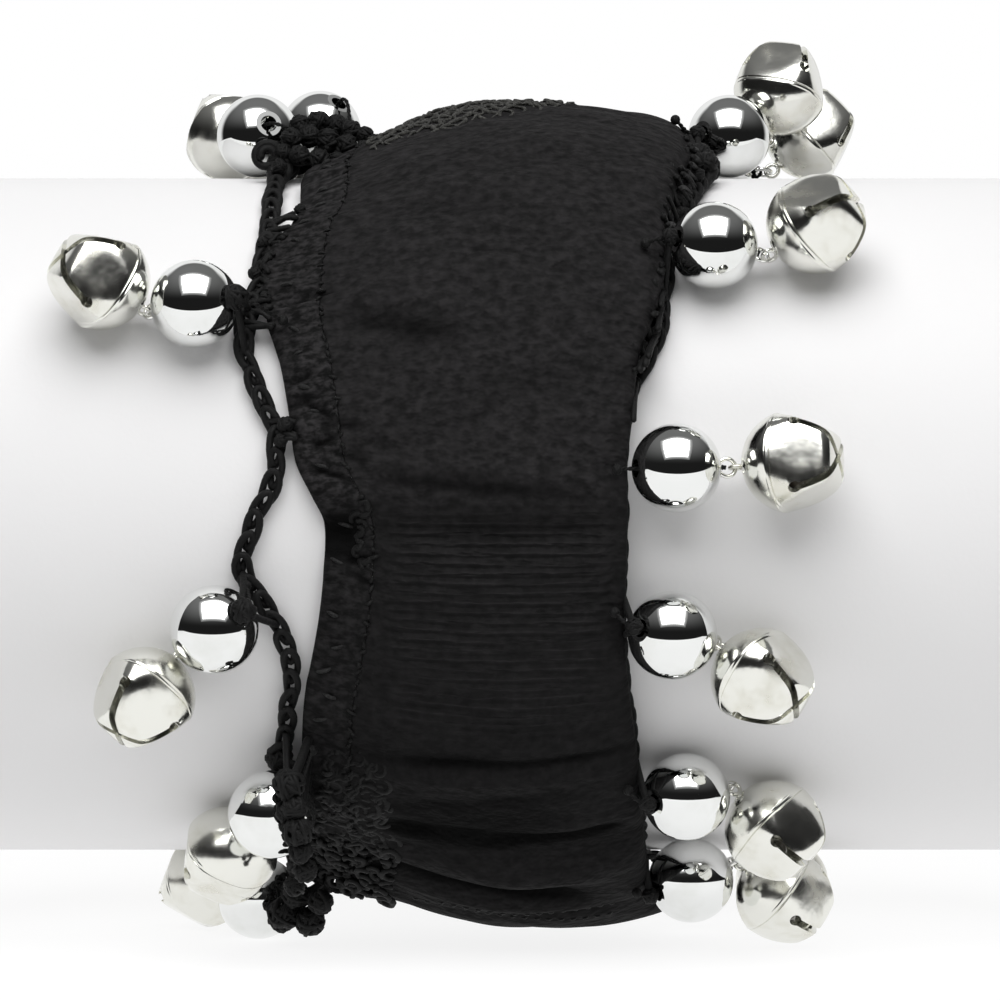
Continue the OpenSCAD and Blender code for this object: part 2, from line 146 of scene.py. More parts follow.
# Angle, middle x, half length, half width in degrees, depth, lean of the main creases.
CREASES = [
    [-54, 1, 12, 2.6, 1.5, 0.15],
    [-64, -1, 10, 2.4, 1.1, -0.10],
    [-75, 2, 13, 2.0, 0.5, 0.10],
    [-2, -1, 14, 1.8, 0.5, 0.00],
    [25, -3, 8, 4.0, 0.4, 0.10],
    [40, 3, 7, 1.6, 0.3, -0.20],
    [-36, -8, 7, 2.5, 0.5, 0.20],
    [120, 0, 12, 3.0, 0.8, 0.10],
    [168, 1, 12, 2.6, 0.7, -0.10],
    [-140, 0, 12, 3.0, 0.8, 0.10],
]
# Angle, x, cord radius of the left edging.
LEFT_CORD = [
    [-180, -20.4, 1], [-172, -21.6, 1], [-165, -22.8, 1], [-158, -21.4, 1], [-142, -19.8, 1],
    [-126, -20.4, 1], [-117, -20.6, 1], [-108, -19.6, 1], [-98, -19.2, 1], [-91, -18.6, 1.1],
    [-84, -18.9, 1.5], [-80, -18.7, 1.2], [-75, -18.8, 1.5], [-70, -18.5, 1], [-60, -19.1, 1],
    [-52, -20, 1.5], [-47, -19.8, 1.1], [-41, -20.2, 1.2], [-37, -19.6, 1], [-30, -19.1, 1],
    [-24, -18.8, 1], [-18, -19.8, 1], [-15, -20.6, 1.1], [-9, -23, 1], [-5, -22.8, 1],
    [0, -21.8, 1], [5, -20.4, 1], [11, -20, 1], [15, -20.6, 1], [20, -21.9, 1], [26, -23, 1],
    [31, -23.1, 1], [38, -22.1, 1], [50, -21.4, 1], [60, -21.3, 1], [70, -21.1, 1],
    [77, -20.7, 1.5], [83, -18.9, 1.1], [90, -17.9, 1], [97, -17.8, 1.2], [105, -18, 1],
    [118, -19.6, 1], [135, -20.4, 1], [143, -21.6, 1], [150, -22.6, 1], [157, -21.6, 1],
    [168, -20.2, 1],
]
# Angle, x past the cloth's edge, cord radius of the right edging.
RIGHT_CORD = [
    [-180, -0.5, 0.7], [-120, -0.5, 0.7], [-94, -0.6, 0.7], [-60, -0.5, 0.7], [0, -0.5, 0.7],
    [18, -0.5, 0.7], [24, 0.6, 0.8], [29, 0.9, 0.9], [35, 0.9, 0.8], [45, 1.1, 0.8], [53, 0.9, 0.8],
    [62, 1.2, 0.9], [68, 1.6, 1], [75, 1.9, 1.4], [81, 0.9, 0.8], [88, 0.4, 0.7], [104, 0.6, 0.8],
    [115, 0.4, 0.7], [130, -0.5, 0.7],
]
# Bead x, angle and height, bell x, angle and height, turn of the bell's petals.
LEFT_DROPS = [
    [-23.4, 87, 4.1, -26.8, 102, 5.7, 10],
    [-27.5, 31.3, 4.1, -36.1, 34.4, 5.1, 66],
    [-25.5, -16.2, 4.1, -31.85, -25.9, 4.95, 0],
    [-20.7, -43.7, 6.8, -25.2, -57.5, 4.9, 12],
    [-23.4, -89, 0, -29.4, -102, 4.7, 35],
    [-24.9, -128, 4.2, -28.6, -116, 7.85, 13],
    [-27.2, -165, 4.1, -35.4, -159, 4.85, 85],
    [-27.0, 150, 4.1, -35.8, 147, 4.85, 5],
    [-17.8, 103.5, 6.5, -23.5, 116, 5.6, 15],
]
RIGHT_DROPS = [
    [22.2, 88, 4.1, 27.5, 95.5, 9.4, 25],
    [19.5, 42, 4.1, 28.8, 44.5, 5.3, 75],
    [15.7, 6.6, 4.1, 26.0, 7.3, 4.9, 84],
    [15.4, -17, 4.1, 23.4, -23, 4.95, 0],
    [17.0, -44.6, 4.1, 25.2, -50.5, 4.95, 10],
    [18.0, -70, 4.2, 27.0, -75.5, 4.99, 85],
    [18.6, -101, 4.4, 28.0, -106, 5.58, 55],
    [18.0, -136, 4.1, 27.2, -133, 4.85, 5],
    [17.8, -172, 4.1, 27.4, -175, 4.85, 15],
    [18.2, 152, 4.1, 27.4, 149, 4.85, 80],
    [21.8, 112, 4.2, 31.0, 107.6, 7.3, 20],
]

# Small folds of the knit, pressed in where the depth is positive and raised where it is negative.
# Angle, middle x, half length, half width in degrees, depth, lean in degrees per mm.
SMALL_FOLDS = [
    [3.6, -1.5, 9.5, 1.2, 0.48, -0.14], [5.8, -1.5, 9, 1.1, -0.34, -0.14],
    [-3, -14.7, 2.1, 3.3, 1.5, 0], [1.6, -14.8, 2, 1.2, -0.4, 0.3],
    [27.6, -9.8, 5.6, 2.5, 0.42, -0.36], [32, -9.4, 5.2, 2, -0.26, -0.48],
    [33.6, -17.4, 3.2, 0.5, 0.5, 0.2], [37.8, -0.4, 2.6, 0.6, 0.4, -0.1],
    [34.8, 5.3, 1.4, 0.6, 0.35, 0.2], [18, 2, 8, 3, 0.24, 0.2], [22.5, 4, 7, 1.8, -0.18, 0.3],
    [47, -4, 9, 3.5, 0.26, -0.2], [56, 3, 9, 3, 0.22, 0.15], [87, -5.2, 6, 8.5, -0.55, 0],
    [87, 9, 4, 8.5, 0.25, 0], [11, -6, 6, 2, 0.24, 0.4], [13, -14.6, 2.2, 0.9, 0.5, -0.3],
    [8.5, -13.8, 2, 0.8, 0.45, -0.6], [17.5, -16.8, 1.8, 0.8, 0.45, 0.3],
    [15.5, -16.2, 1.3, 0.6, 0.6, -0.9], [10.8, -15.6, 1.3, 0.6, 0.6, 0.6],
    [6, -15, 1.5, 0.6, 0.6, -0.6], [20.5, -17.8, 1.2, 0.5, 0.55, 0.7],
    [-6.5, -12.6, 1, 0.7, 0.55, 0.5], [-9.5, -12.2, 1, 0.7, 0.5, -0.6],
    [-35.6, 2, 11, 1, 0.55, 0.1], [-38.4, 2, 11, 1.3, -0.34, 0.1], [-46.2, -2, 9, 4.4, 0.52, 0.12],
    [-42, 0, 9, 1.4, 0.2, 0.25], [-50.4, -4.5, 6.4, 1.9, 1.15, 0.02],
    [-50.1, 5.6, 5.4, 1.2, 1.1, 0.2], [-55, 0, 9.5, 1.9, -0.75, 0.18],
    [-58.6, 3, 9, 2.6, -0.6, -0.05], [-64.2, -1.6, 10, 1.4, 1, -0.31],
    [-69, 0, 10, 1.2, -0.3, -0.2], [-73.5, 0, 10, 0.9, 0.45, -0.1], [-31, 4, 7, 1.5, 0.26, -0.15],
    [-26, -4, 6, 1.8, 0.22, 0.2], [72, 0, 10, 2, 0.22, 0.05], [80, 2, 11, 1.6, 0.25, -0.1],
    [100, 1, 10, 2.5, 0.3, 0.1], [140, -2, 10, 2.2, 0.3, -0.15], [-160, 2, 9, 2.4, 0.35, 0.15],
    [-120, -1, 10, 2.2, 0.35, -0.1], [-100, 2, 9, 1.8, 0.3, 0.1],
]


def smooth(table, angles, column):
    """A smooth closed curve through one column of a table whose first column is the angle."""
    rows = np.array(table, float)
    turn = np.arange(-2, len(rows) + 3)
    at = rows[turn % len(rows), 0] + 360 * (turn // len(rows))
    value = rows[turn % len(rows), column]
    slope = np.zeros_like(value)
    slope[1:-1] = (value[2:] - value[:-2]) / (at[2:] - at[:-2])
    angle = wrapped(np.asarray(angles, float))
    i = np.clip(np.searchsorted(at, angle, side="right") - 1, 1, len(at) - 3)
    span = at[i + 1] - at[i]
    u = (angle - at[i]) / span
    return (
        (2 * u**3 - 3 * u**2 + 1) * value[i]
        + (u**3 - 2 * u**2 + u) * span * slope[i]
        + (3 * u**2 - 2 * u**3) * value[i + 1]
        + (u**3 - u**2) * span * slope[i + 1]
    )


def wrapped(angle):
    """The same angle between -180 and 180 degrees."""
    return (angle + 180) % 360 - 180


def on_tube(x, angle, height):
    """Points at a height over the tube, stacked along the last axis."""
    x, angle, height = np.broadcast_arrays(x, np.radians(angle), height)
    r = TUBE_R + height
    return np.stack([x, -r * np.cos(angle), AXIS_H + r * np.sin(angle)], axis=-1)


def outward(angle):
    """The direction away from the tube at an angle."""
    angle = np.radians(angle)
    return np.stack([np.zeros_like(angle), -np.cos(angle), np.sin(angle)], axis=-1)


def angle_of(point):
    """The angle round the tube at which a point lies."""
    return math.degrees(math.atan2(point[2] - AXIS_H, -point[1]))


def around(steps):
    """Even steps round a circle, in radians."""
    return np.linspace(0, 2 * np.pi, steps, endpoint=False)


def turned(a, b, angle):
    """Two coordinates after a turn by an angle in radians."""
    c, s = np.cos(angle), np.sin(angle)
    return a * c - b * s, a * s + b * c


def unit(v):
    return v / np.linalg.norm(v, axis=-1, keepdims=True)


def edge_left(angle):
    return smooth(CLOTH, angle, 1)


def edge_right(angle):
    return smooth(CLOTH, angle, 2)


def crease_sum(table, angle, x):
    """How deep a table's creases press in altogether."""
    total = np.zeros(np.broadcast(angle, x).shape)
    for at, middle, half, width, depth, lean in table:
        off = wrapped(angle - at - lean * (x - middle)) / width
        total = total + depth * np.exp(-off**2 - ((x - middle) / half) ** 4)
    return total


def cloth_height(angle, x):
    """The source's own height of the cloth's outer face."""
    left, right = edge_left(angle), edge_right(angle)
    low, crest, high = (smooth(CLOTH, angle, c) for c in (3, 4, 5))
    u = np.clip((x - left) / (right - left), 0, 1)
    rise = low + (crest - low) * np.sin(np.pi / 2 * np.minimum(u / CREST_AT, 1))
    fall = np.maximum(0, np.cos(np.pi / 2 * np.clip((u - CREST_AT) / (1 - CREST_AT), 0, 1)))
    height = np.where(u < CREST_AT, rise, high + (crest - high) * fall**0.6)
    return height - crease_sum(CREASES, angle, x)


def knit_height(angle, x):
    """The cloth's face with its small folds and a soft unevenness."""
    a = np.radians(angle)
    uneven = (
        0.07 * np.sin(23 * a + 0.35 * x)
        + 0.06 * np.sin(41 * a - 0.22 * x + 1.3)
        + 0.05 * np.sin(11 * a + 0.6 * x + 0.4)
        + 0.035 * np.sin(67 * a + 0.9 * x + 2.0)
    )
    return cloth_height(angle, x) - crease_sum(SMALL_FOLDS, angle, x) + uneven + gathers(angle, x)


def gathers(angle, x):
    """Short puckers that the hem's stitches draw into its border."""
    a = np.radians(angle)
    near = np.exp(-(((x - edge_left(angle)) / 4.2) ** 2))
    drift = 0.9 * np.sin(a * 5 + 1.0)
    return 0.17 * near * np.sin(a * GATHERS + drift + 0.35 * x)


def stood(angle, r):
    """Height over the tube at which a ball of radius r rests on the ground."""
    return (AXIS_H - r) / math.sin(math.radians(-angle)) - TUBE_R


class Drop:
    """One drop's places, worked out from its row as the source does."""

    def __init__(self, row, left):
        bead_x, bead_angle, bead_height, bell_x, bell_angle, bell_height, self.turn = row
        bead_height = bead_height or stood(bead_angle, BEAD_R)
        bell_height = bell_height or stood(bell_angle, BELL_R)
        self.bead = on_tube(bead_x, bead_angle, bead_height)
        self.bell = on_tube(bell_x, bell_angle, bell_height)
        out = outward((bead_angle + bell_angle) / 2)
        span = self.bell - self.bead
        length = np.linalg.norm(span)
        along = span / length
        foot = (PIVOT_AT**2 - PIVOT_TO_BELL**2 + length**2) / (2 * length)
        sink = math.sqrt(max(0, PIVOT_AT**2 - foot**2))
        inward = unit(-out + (out @ along) * along)
        pivot = self.bead + foot * along + sink * inward
        self.bead_axis = unit(pivot - self.bead)
        self.bell_axis = unit(self.bell - pivot)
        self.bend = unit(np.cross(span, out))
        angle = angle_of(self.bead - self.bead_axis * (MOUTH_AT + KNOT_AHEAD))
        cord_x = smooth(LEFT_CORD, angle, 1)
        edge = edge_left(angle) + KNOT_INSET if left else edge_right(angle) - KNOT_INSET
        top = cloth_height(angle, edge) + (HEM_PROUD if left else 0)
        if left and edge_left(angle) - cord_x > CORD_SWING:
            edge, top = cord_x, GAP + 2 * smooth(LEFT_CORD, angle, 2)
        self.knot = on_tube(edge, angle, top + 2 * GAP + KNOT_R)

    def strand(self, side, along):
        """A point beside the bead's axis."""
        return self.bead + self.bead_axis * along + np.cross(self.bead_axis, self.bend) * side

    def thread(self):
        """Points of the doubled thread from its knot through the bead, round the ring and back."""
        points = [self.knot, self.strand(STRAND_APART, -MOUTH_AT), self.strand(STRAND_APART, TURN_FROM)]
        for turn in (0, 45, 90, 135, 180):
            t = math.radians(turn)
            points.append(self.strand(TURN_R * math.cos(t), RING_AT + TURN_R * math.sin(t)))
        points.append(self.strand(-STRAND_APART, TURN_FROM))
        points.append(self.strand(-STRAND_APART, -1))
        return np.array(points)


# Each drop under its pieces' name, in which bead, bell or jingle fills the gap.
DROPS = {f"left_{{}}_{i + 1}": Drop(row, True) for i, row in enumerate(LEFT_DROPS)}
DROPS.update({f"right_{{}}_{i + 1}": Drop(row, False) for i, row in enumerate(RIGHT_DROPS)})


# Mesh making.
def link(name, data):
    """A new object in the scene."""
    made = bpy.data.objects.new(name, data)
    bpy.context.scene.collection.objects.link(made)
    return made


def grid_faces(rows, cols, close_rows, close_cols):
    """Four-sided faces of a grid of points, closed round either way or open."""
    i = np.arange(rows if close_rows else rows - 1)[:, None]
    j = np.arange(cols if close_cols else cols - 1)[None, :]
    down, across = (i + 1) % rows, (j + 1) % cols
    corners = (i * cols + j, i * cols + across, down * cols + across, down * cols + j)
    return np.stack(np.broadcast_arrays(*corners), axis=-1).reshape(-1, 4)


class Shape:
    """Points and faces gathered into one mesh object, in millimetres."""

    def __init__(self):
        self.points, self.faces, self.count = [], [], 0

    def add(self, points, faces):
        points = np.asarray(points, float).reshape(-1, 3)
        if isinstance(faces, np.ndarray):
            faces = faces.tolist()
        self.points.append(points)
        self.faces.extend([[v + self.count for v in face] for face in faces])
        self.count += len(points)

    def put(self, name, material, *nodes, sharp=None, weld=None):
        """Makes the piece and fixes it to the body, in the place of the nodes named.

        Sharp is the least angle of a hard edge, weld how near points merge.
        """
        mesh = bpy.data.meshes.new(name)
        points = np.concatenate(self.points) * MM
        mesh.from_pydata(points.tolist(), [], self.faces)
        mesh.validate()
        if weld:
            work = bmesh.new()
            work.from_mesh(mesh)
            bmesh.ops.remove_doubles(work, verts=work.verts, dist=weld * MM)
            bmesh.ops.recalc_face_normals(work, faces=work.faces)
            work.to_mesh(mesh)
            work.free()
        mesh.shade_smooth()
        if sharp:
            mesh.set_sharp_from_angle(angle=math.radians(sharp))
        mesh.materials.append(material)
        piece = link(name, mesh)
        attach(piece, BODY)
        if nodes:
            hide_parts(*nodes)
        return piece


def run_along(points):
    """Distance of each point of a line from its first, along the line."""
    return np.concatenate([[0], np.cumsum(np.linalg.norm(np.diff(points, axis=0), axis=1))])


def smooth_path(points, count):
    """An open cubic curve through the points, sampled evenly along its length."""
    points = np.asarray(points, float)
    first, last = 2 * points[0] - points[1], 2 * points[-1] - points[-2]
    padded = np.concatenate([[first], points, [last]])
    spans = len(points) - 1
    t = np.append(np.linspace(0, spans, spans * 12, endpoint=False), spans - 1e-9)
    i = t.astype(int)
    u = (t - i)[:, None]
    a, b, c, d = (padded[i + k] for k in range(4))
    curve = 0.5 * (
        2 * b + (c - a) * u + (2 * a - 5 * b + 4 * c - d) * u**2 + (3 * b - a - 3 * c + d) * u**3
    )
    run = run_along(curve)
    even = np.linspace(0, run[-1], count)
    return np.stack([np.interp(even, run, curve[:, k]) for k in range(3)], axis=-1)


def frames(path, out, closed):
    """The two directions across a path: sideways, and up, which is nearest to out."""
    if closed:
        ahead = unit(np.roll(path, -1, axis=0) - np.roll(path, 1, axis=0))
    else:
        ahead = unit(np.gradient(path, axis=0))
    side = unit(np.cross(ahead, out))
    return side, np.cross(side, ahead)


def sweep(shape, path, radius, out, sides=8, closed=False):
    """A round yarn along a path. Open ends are closed with small rounded tips."""
    path = np.asarray(path, float)
    radius = np.broadcast_to(radius, len(path)).astype(float)
    if not closed:
        tip = unit(path[0] - path[1]) * radius[0] * 0.6
        tail = unit(path[-1] - path[-2]) * radius[-1] * 0.6
        path = np.concatenate([[path[0] + tip], path, [path[-1] + tail]])
        radius = np.concatenate([[radius[0] * 0.35], radius, [radius[-1] * 0.35]])
        if np.ndim(out) > 1:
            out = np.concatenate([out[:1], out, out[-1:]])
    side, up = frames(path, out, closed)
    t = around(sides)[None, :, None]
    rings = path[:, None] + radius[:, None, None] * (np.cos(t) * side[:, None] + np.sin(t) * up[:, None])
    count = len(path)
    faces = grid_faces(count, sides, closed, True).tolist()
    if not closed:
        faces += [list(range(sides))[::-1], [(count - 1) * sides + j for j in range(sides)]]
    shape.add(rings, faces)


def twisted(shape, path, radius, out, pitch):
    """A yarn of two plies twisted round each other along an open path."""
    side, up = frames(path, out, False)
    run = run_along(path)
    for ply in (0, 0.5):
        t = (2 * np.pi * (run / pitch + ply))[:, None]
        core = path + radius * 0.42 * (np.cos(t) * side + np.sin(t) * up)
        sweep(shape, core, radius * 0.58, out, 6)


# Finishes. Python's operators on a Value add Math nodes to its tree.
class Value:
    """One output of a node."""

    def __init__(self, nodes, socket):
        self.nodes, self.socket = nodes, socket

    def maths(self, operation, *values):
        return self.nodes.maths(operation, self, *values)

    def __add__(self, other):
        return self.maths("ADD", other)

    def __sub__(self, other):
        return self.maths("SUBTRACT", other)

    def __mul__(self, other):
        return self.maths("MULTIPLY", other)

    def __rsub__(self, other):
        return self.nodes.maths("SUBTRACT", other, self)

    __radd__ = __add__
    __rmul__ = __mul__

    def between(self, low, high):
        """0 at low and 1 at high, with a soft ramp between."""
        settings = {"interpolation_type": "SMOOTHSTEP"}
        return self.nodes.node("ShaderNodeMapRange", settings, {0: self, 1: low, 2: high})


class Nodes:
    """The nodes of a material or of the world, all made by one method."""

    def __init__(self, tree):
        self.tree = tree

    def node(self, kind, settings=None, inputs=None, output=0):
        """Makes a node with its settings, feeds its inputs and gives one of its outputs, if it has any."""
        made = self.tree.nodes.new(kind)
        for key, value in (settings or {}).items():
            setattr(made, key, value)
        for key, value in (inputs or {}).items():
            self.feed(made.inputs[key], value)
        return Value(self, made.outputs[output] if made.outputs else None)

    def feed(self, socket, value):
        if isinstance(value, Value):
            self.tree.links.new(value.socket, socket)
        else:
            socket.default_value = value

    def maths(self, operation, *values):
        return self.node("ShaderNodeMath", {"operation": operation}, dict(enumerate(values)))

    def parts(self, vector):
        """The x, y and z of a vector."""
        split = self.node("ShaderNodeSeparateXYZ", inputs={0: vector})
        return [Value(self, out) for out in split.socket.node.outputs]


class Finish(Nodes):
    """A material on one Principled shader."""

    def __init__(self, name, **sockets):
        self.material = bpy.data.materials.new(name)
        self.material.use_nodes = True
        super().__init__(self.material.node_tree)
        self.shader = self.tree.nodes["Principled BSDF"]
        for key, value in sockets.items():
            self.shader.inputs[key.replace("_", " ")].default_value = value

    def place(self):
        """The point on the surface, in the object's own metres."""
        return self.node("ShaderNodeTexCoord", output="Object")

    def vector(self, x, y, z):
        return self.node("ShaderNodeCombineXYZ", inputs={0: x, 1: y, 2: z})

    def noise(self, vector, scale, detail=2.0, rough=0.5):
        inputs = {"Vector": vector, "Scale": scale, "Detail": detail, "Roughness": rough}
        return self.node("ShaderNodeTexNoise", inputs=inputs)

    def flecks(self, x, y, z, detail=2.0, rough=0.5):
        """Noise in a space of its own, stretched by what x, y and z are multiplied with."""
        return self.noise(self.vector(x, y, z), 1.0, detail, rough)

    def mix(self, factor, a, b):
        settings = {"data_type": "RGBA"}
        return self.node("ShaderNodeMix", settings, {0: factor, 6: a, 7: b}, output=2)

    def set(self, name, value):
        self.feed(self.shader.inputs[name], value)

    def surface(self, colour, rough, height, distance, strength):
        """Feeds the shader its colour, its roughness and its bumps, and gives the material."""
        bumps = {"Height": height, "Distance": distance, "Strength": strength}
        self.set("Base Color", colour)
        self.set("Roughness", rough)
        self.set("Normal", self.node("ShaderNodeBump", inputs=bumps))
        return self.material


def grey(level):
    return (level, level, level, 1.0)


def round_tube(finish):
    """Distance along X and distance round the tube, both in millimetres, and the point itself."""
    point = finish.place()
    x, y, z = finish.parts(point)
    angle = (z - AXIS_H * MM).maths("ARCTAN2", y * -1)
    return x * 1000, angle * CLOTH_R, point


def cloth_colour(finish, light, dark, pale, crease_shade_grey):
    """From dark to pale yarn with the light factor, and darker with painted shade where the cloth creases
    in.
    """
    # Painted shade: the colour goes to a near black grey where the folds press deep.
    pressed = finish.node("ShaderNodeAttribute", {"attribute_name": "pressed"}, output=2)
    colour = finish.mix(light, grey(dark), pale)
    return finish.mix(pressed.between(0.05, 0.75), colour, grey(crease_shade_grey))


def knit_finish():
    """Matte black knit: soft flecks across, straight ribs on the middle panel, a painted lighter top and
    painted shade in its folds.
    """
    finish = Finish("black_knit", Specular_IOR_Level=0.08)
    x, s, point = round_tube(finish)
    wobble = finish.noise(point, 260, 1.0) * 0.16
    rows = ((s + wobble) * (2 * math.pi / RIB_PITCH)).maths("SINE") * 0.5 + 0.5
    dashes = finish.flecks(x * 0.6, s * 0.85, 0.0, 2.0, 0.55)
    specks = finish.flecks(x * 1.2, s * 1.4, 3.0, 1.0)
    clouds = finish.noise(point, 140, 3.0, 0.55)
    streaks = finish.flecks(x * 0.22, s * 1.1, 7.0, 2.0, 0.55)
    across = x.between(-10.5, -8.0) * (1 - x.between(7.5, 10.5))
    down = s.between(-22.5, -18.0) * (1 - s.between(-1.0, 1.6))
    panel = across * down
    broken = rows * streaks.between(0.30, 0.62)
    height = dashes.between(0.3, 0.7) * 0.7 + specks * 0.5 + broken * panel * 1.9
    light = dashes.between(0.32, 0.70) * 0.40 + specks.between(0.34, 0.68) * 0.34 + broken * panel * 0.75
    # Painted light: the yarn is coloured paler over the top of the cuff and round its back, and darker low
    # in front, as if lit from above.
    painted_top_light = s.between(-1.0, 3.0) * 0.34 + s.between(-26.0, -14.0) * 0.06
    painted_top_light = painted_top_light + (1 - s.between(-105.0, -60.0)) * 0.40
    light = (light + clouds * 0.3) * (painted_top_light + 0.28)
    colour = cloth_colour(finish, light, 0.0055, (0.0315, 0.0298, 0.0309, 1), 0.0012)
    return finish.surface(colour, 0.97 - specks * 0.12, height, 0.00030, 0.9)


def hem_finish():
    """The hem's looser net: small loops in rows, of the same black as the cloth, with the same painted
    lighter top and painted shade in its folds.
    """
    finish = Finish("hem_net", Specular_IOR_Level=0.1)
    x, s, point = round_tube(finish)
    warp = finish.noise(point, 500, 2.0)
    loops = finish.vector(x * 0.8 + warp * 0.9, s * 0.95 + warp * 0.5, 0.0)
    inputs = {"Vector": loops, "Scale": 1.0, "Smoothness": 0.35}
    net = finish.node("ShaderNodeTexVoronoi", {"feature": "SMOOTH_F1"}, inputs)
    specks = finish.flecks(x, s * 1.5, 1.0, 2.0, 0.6)
    height = (1 - net * 1.2) * 0.7 + specks * 0.6
    # Painted light: the hem's yarn is coloured paler over the top and round the back, as if lit from
    # above.
    painted_top_light = s.between(-1.0, 3.0) * 0.45 + (1 - s.between(-105.0, -60.0)) * 0.45 + 0.5
    light = specks.between(0.35, 0.72) * painted_top_light
    colour = cloth_colour(finish, light, 0.0050, (0.0290, 0.0275, 0.0285, 1), 0.0014)
    return finish.surface(colour, 0.95 - specks * 0.2, height, 0.00036, 0.9)


def yarn_finish(name, dark, light):
    """Crochet yarn with a slight lustre and fine fibres along it."""
    finish = Finish(name, Sheen_Weight=0.01, Sheen_Roughness=0.4, Specular_IOR_Level=0.22)
    point = finish.place()
    fibre = finish.noise(point, 5200, 3.0, 0.6)
    ply = finish.noise(point, 1500, 2.0, 0.5)
    colour = finish.mix(fibre.between(0.35, 0.75), dark, light)
    return finish.surface(colour, 0.5 + fibre * 0.35, fibre * 0.5 + ply, 0.00012, 0.8)


def silver_finish(name, clean, tarnish, rough, ripple):
    """Plated silver: near mirror, with faint tarnish, handling scratches and a soft unevenness."""
    finish = Finish(name, Metallic=1.0)
    point = finish.place()
    clouds = finish.noise(point, 260, 3.0, 0.55)
    grain = finish.noise(point, 3000, 2.0, 0.6)
    x, y, z = finish.parts(point)
    scratches = finish.flecks(x * 900, y * 5200, z * 1300)
    colour = finish.mix(clouds.between(0.45, 0.75), clean, tarnish)
    dull = clouds.between(0.4, 0.8) * rough + scratches.between(0.62, 0.8) * 0.05
    return finish.surface(colour, dull + rough * 0.6, clouds + grain * 0.004, ripple, 0.5)


def tube_finish():
    """White satin tube with a faint moulded grain."""
    finish = Finish("white_satin", Specular_IOR_Level=0.12)
    point = finish.place()
    grain = finish.noise(point, 1800, 2.0, 0.5)
    clouds = finish.noise(point, 60, 2.0, 0.5)
    colour = finish.mix(clouds, (0.752, 0.747, 0.750, 1), (0.777, 0.772, 0.775, 1))
    return finish.surface(colour, 0.46 + clouds * 0.1, grain, 0.00003, 0.4)


# Cloth and hem.
def edge_spacing(count, fine):
    """Shares from 0 to 1 that lie closer together at both ends."""
    t = np.linspace(0, 1, count)
    return (1 - fine) * t + fine * (1 - np.cos(np.pi * t)) / 2


def band(name, node, left, right, roll, lift, columns, material):
    """Cloth round the tube, from left to right: outer face, borders rounded by roll, and inner face."""
    angle = np.linspace(-180, 180, CLOTH_ROWS, endpoint=False)[:, None]
    outer = edge_spacing(columns, 0.55)
    inner = edge_spacing(16, 0.8)[1:-1][::-1]
    share = np.concatenate([outer, inner])[None, :]
    x = left(angle) + (right(angle) - left(angle)) * share
    pinch = 0
    for border, radius in ((x - left(angle), roll[0]), (right(angle) - x, roll[1])):
        t = 1 - np.clip(border / radius, 0, 1)
        pinch = pinch + (1 - np.sqrt(1 - t**2)) * radius
    face = knit_height(angle, x) + lift
    base = np.maximum(GAP, cloth_height(angle, x) - CLOTH_WALL)
    is_outer = np.arange(share.size)[None, :] < columns
    height = np.where(is_outer, face - pinch, base + pinch)
    height = np.maximum(height, base + LEAST_WALL)
    height = np.where(is_outer, height, np.minimum(base + pinch, face - LEAST_WALL))
    shape = Shape()
    shape.add(on_tube(x, angle, height), grid_faces(CLOTH_ROWS, share.size, True, True))
    piece = shape.put(name, material, node)
    # How deep the folds press in at each point, kept on the mesh; the cloth's colour darkens by it as
    # painted shade in the creases.
    pressed = np.clip(crease_sum(SMALL_FOLDS, angle, x) + 0.5 * crease_sum(CREASES, angle, x), -1, 1)
    layer = piece.data.attributes.new("pressed", "FLOAT", "POINT")
    layer.data.foreach_set("value", pressed.astype(np.float32).ravel())
    return piece


knit = knit_finish()
hem_net = hem_finish()
yarn = yarn_finish("black_yarn", grey(0.0015), grey(0.0065))
motif_yarn = yarn_finish("motif_yarn", grey(0.0018), grey(0.0060))
stitch_yarn = yarn_finish("stitch_yarn", grey(0.005), grey(0.026))
# Pale yarn for the top net: painted sheen of the knit's top edge at a grazing angle.
net_yarn_painted_sheen = yarn_finish("net_yarn_painted_sheen", (0.015, 0.015, 0.0135, 1), (0.078, 0.077, 0.071, 1))


def seam(angle):
    """Where the hem ends, as x."""
    return edge_left(angle) + HEM_W


def cuff_start(angle):
    """Where the cuff's own cloth starts, as x, just clear of the hem."""
    return seam(angle) + 0.2 * GAP


def swell(angle, at, width, size):
    """A smooth outward bulge of a border round one angle."""
    return size * np.exp(-((wrapped(angle - at) / width) ** 2))


def hem_border(angle):
    """The hem's free border, as x."""
    return edge_left(angle) - swell(angle, 41, 10, 1.15) - swell(angle, -72, 14, 0.5)


def cuff_border(angle):
    """The cuff's right border, as x."""
    return edge_right(angle) + swell(angle, 73, 9, 1.0) + swell(angle, 40, 10, 0.9)


cuff = band("knit_cuff", "cloth_band", cuff_start, cuff_border, (SEAM_ROLL, EDGE_ROLL), 0, 84, knit)
hem = band("net_hem", "left_hem", hem_border, seam, (EDGE_ROLL, SEAM_ROLL), HEM_LIFT, 26, hem_net)


# Crocheted edgings.
def cord_at(table, over_edge, angle):
    """An edging cord at an angle: x and height of its middle, and its radius."""
    radius = smooth(table, angle, 2)
    x = smooth(table, angle, 1) + (edge_right(angle) if over_edge else 0)
    return x, GAP + radius, radius


def cord_path(table, over_edge, pitch, steps):
    """Centre line of an edging cord with its radius and angle, in even steps that make whole stitches."""
    angle = np.linspace(-180, 180, 1440, endpoint=False)
    x, height, _ = cord_at(table, over_edge, angle)
    line = on_tube(x, angle, height)
    run = run_along(np.concatenate([line, line[:1]]))
    stitches = round(run[-1] / pitch)
    even = np.linspace(0, run[-1], stitches * steps, endpoint=False)
    angle = np.interp(even, run, np.append(angle, 180.0))
    x, height, radius = cord_at(table, over_edge, angle)
    return on_tube(x, angle, height), radius, angle, stitches


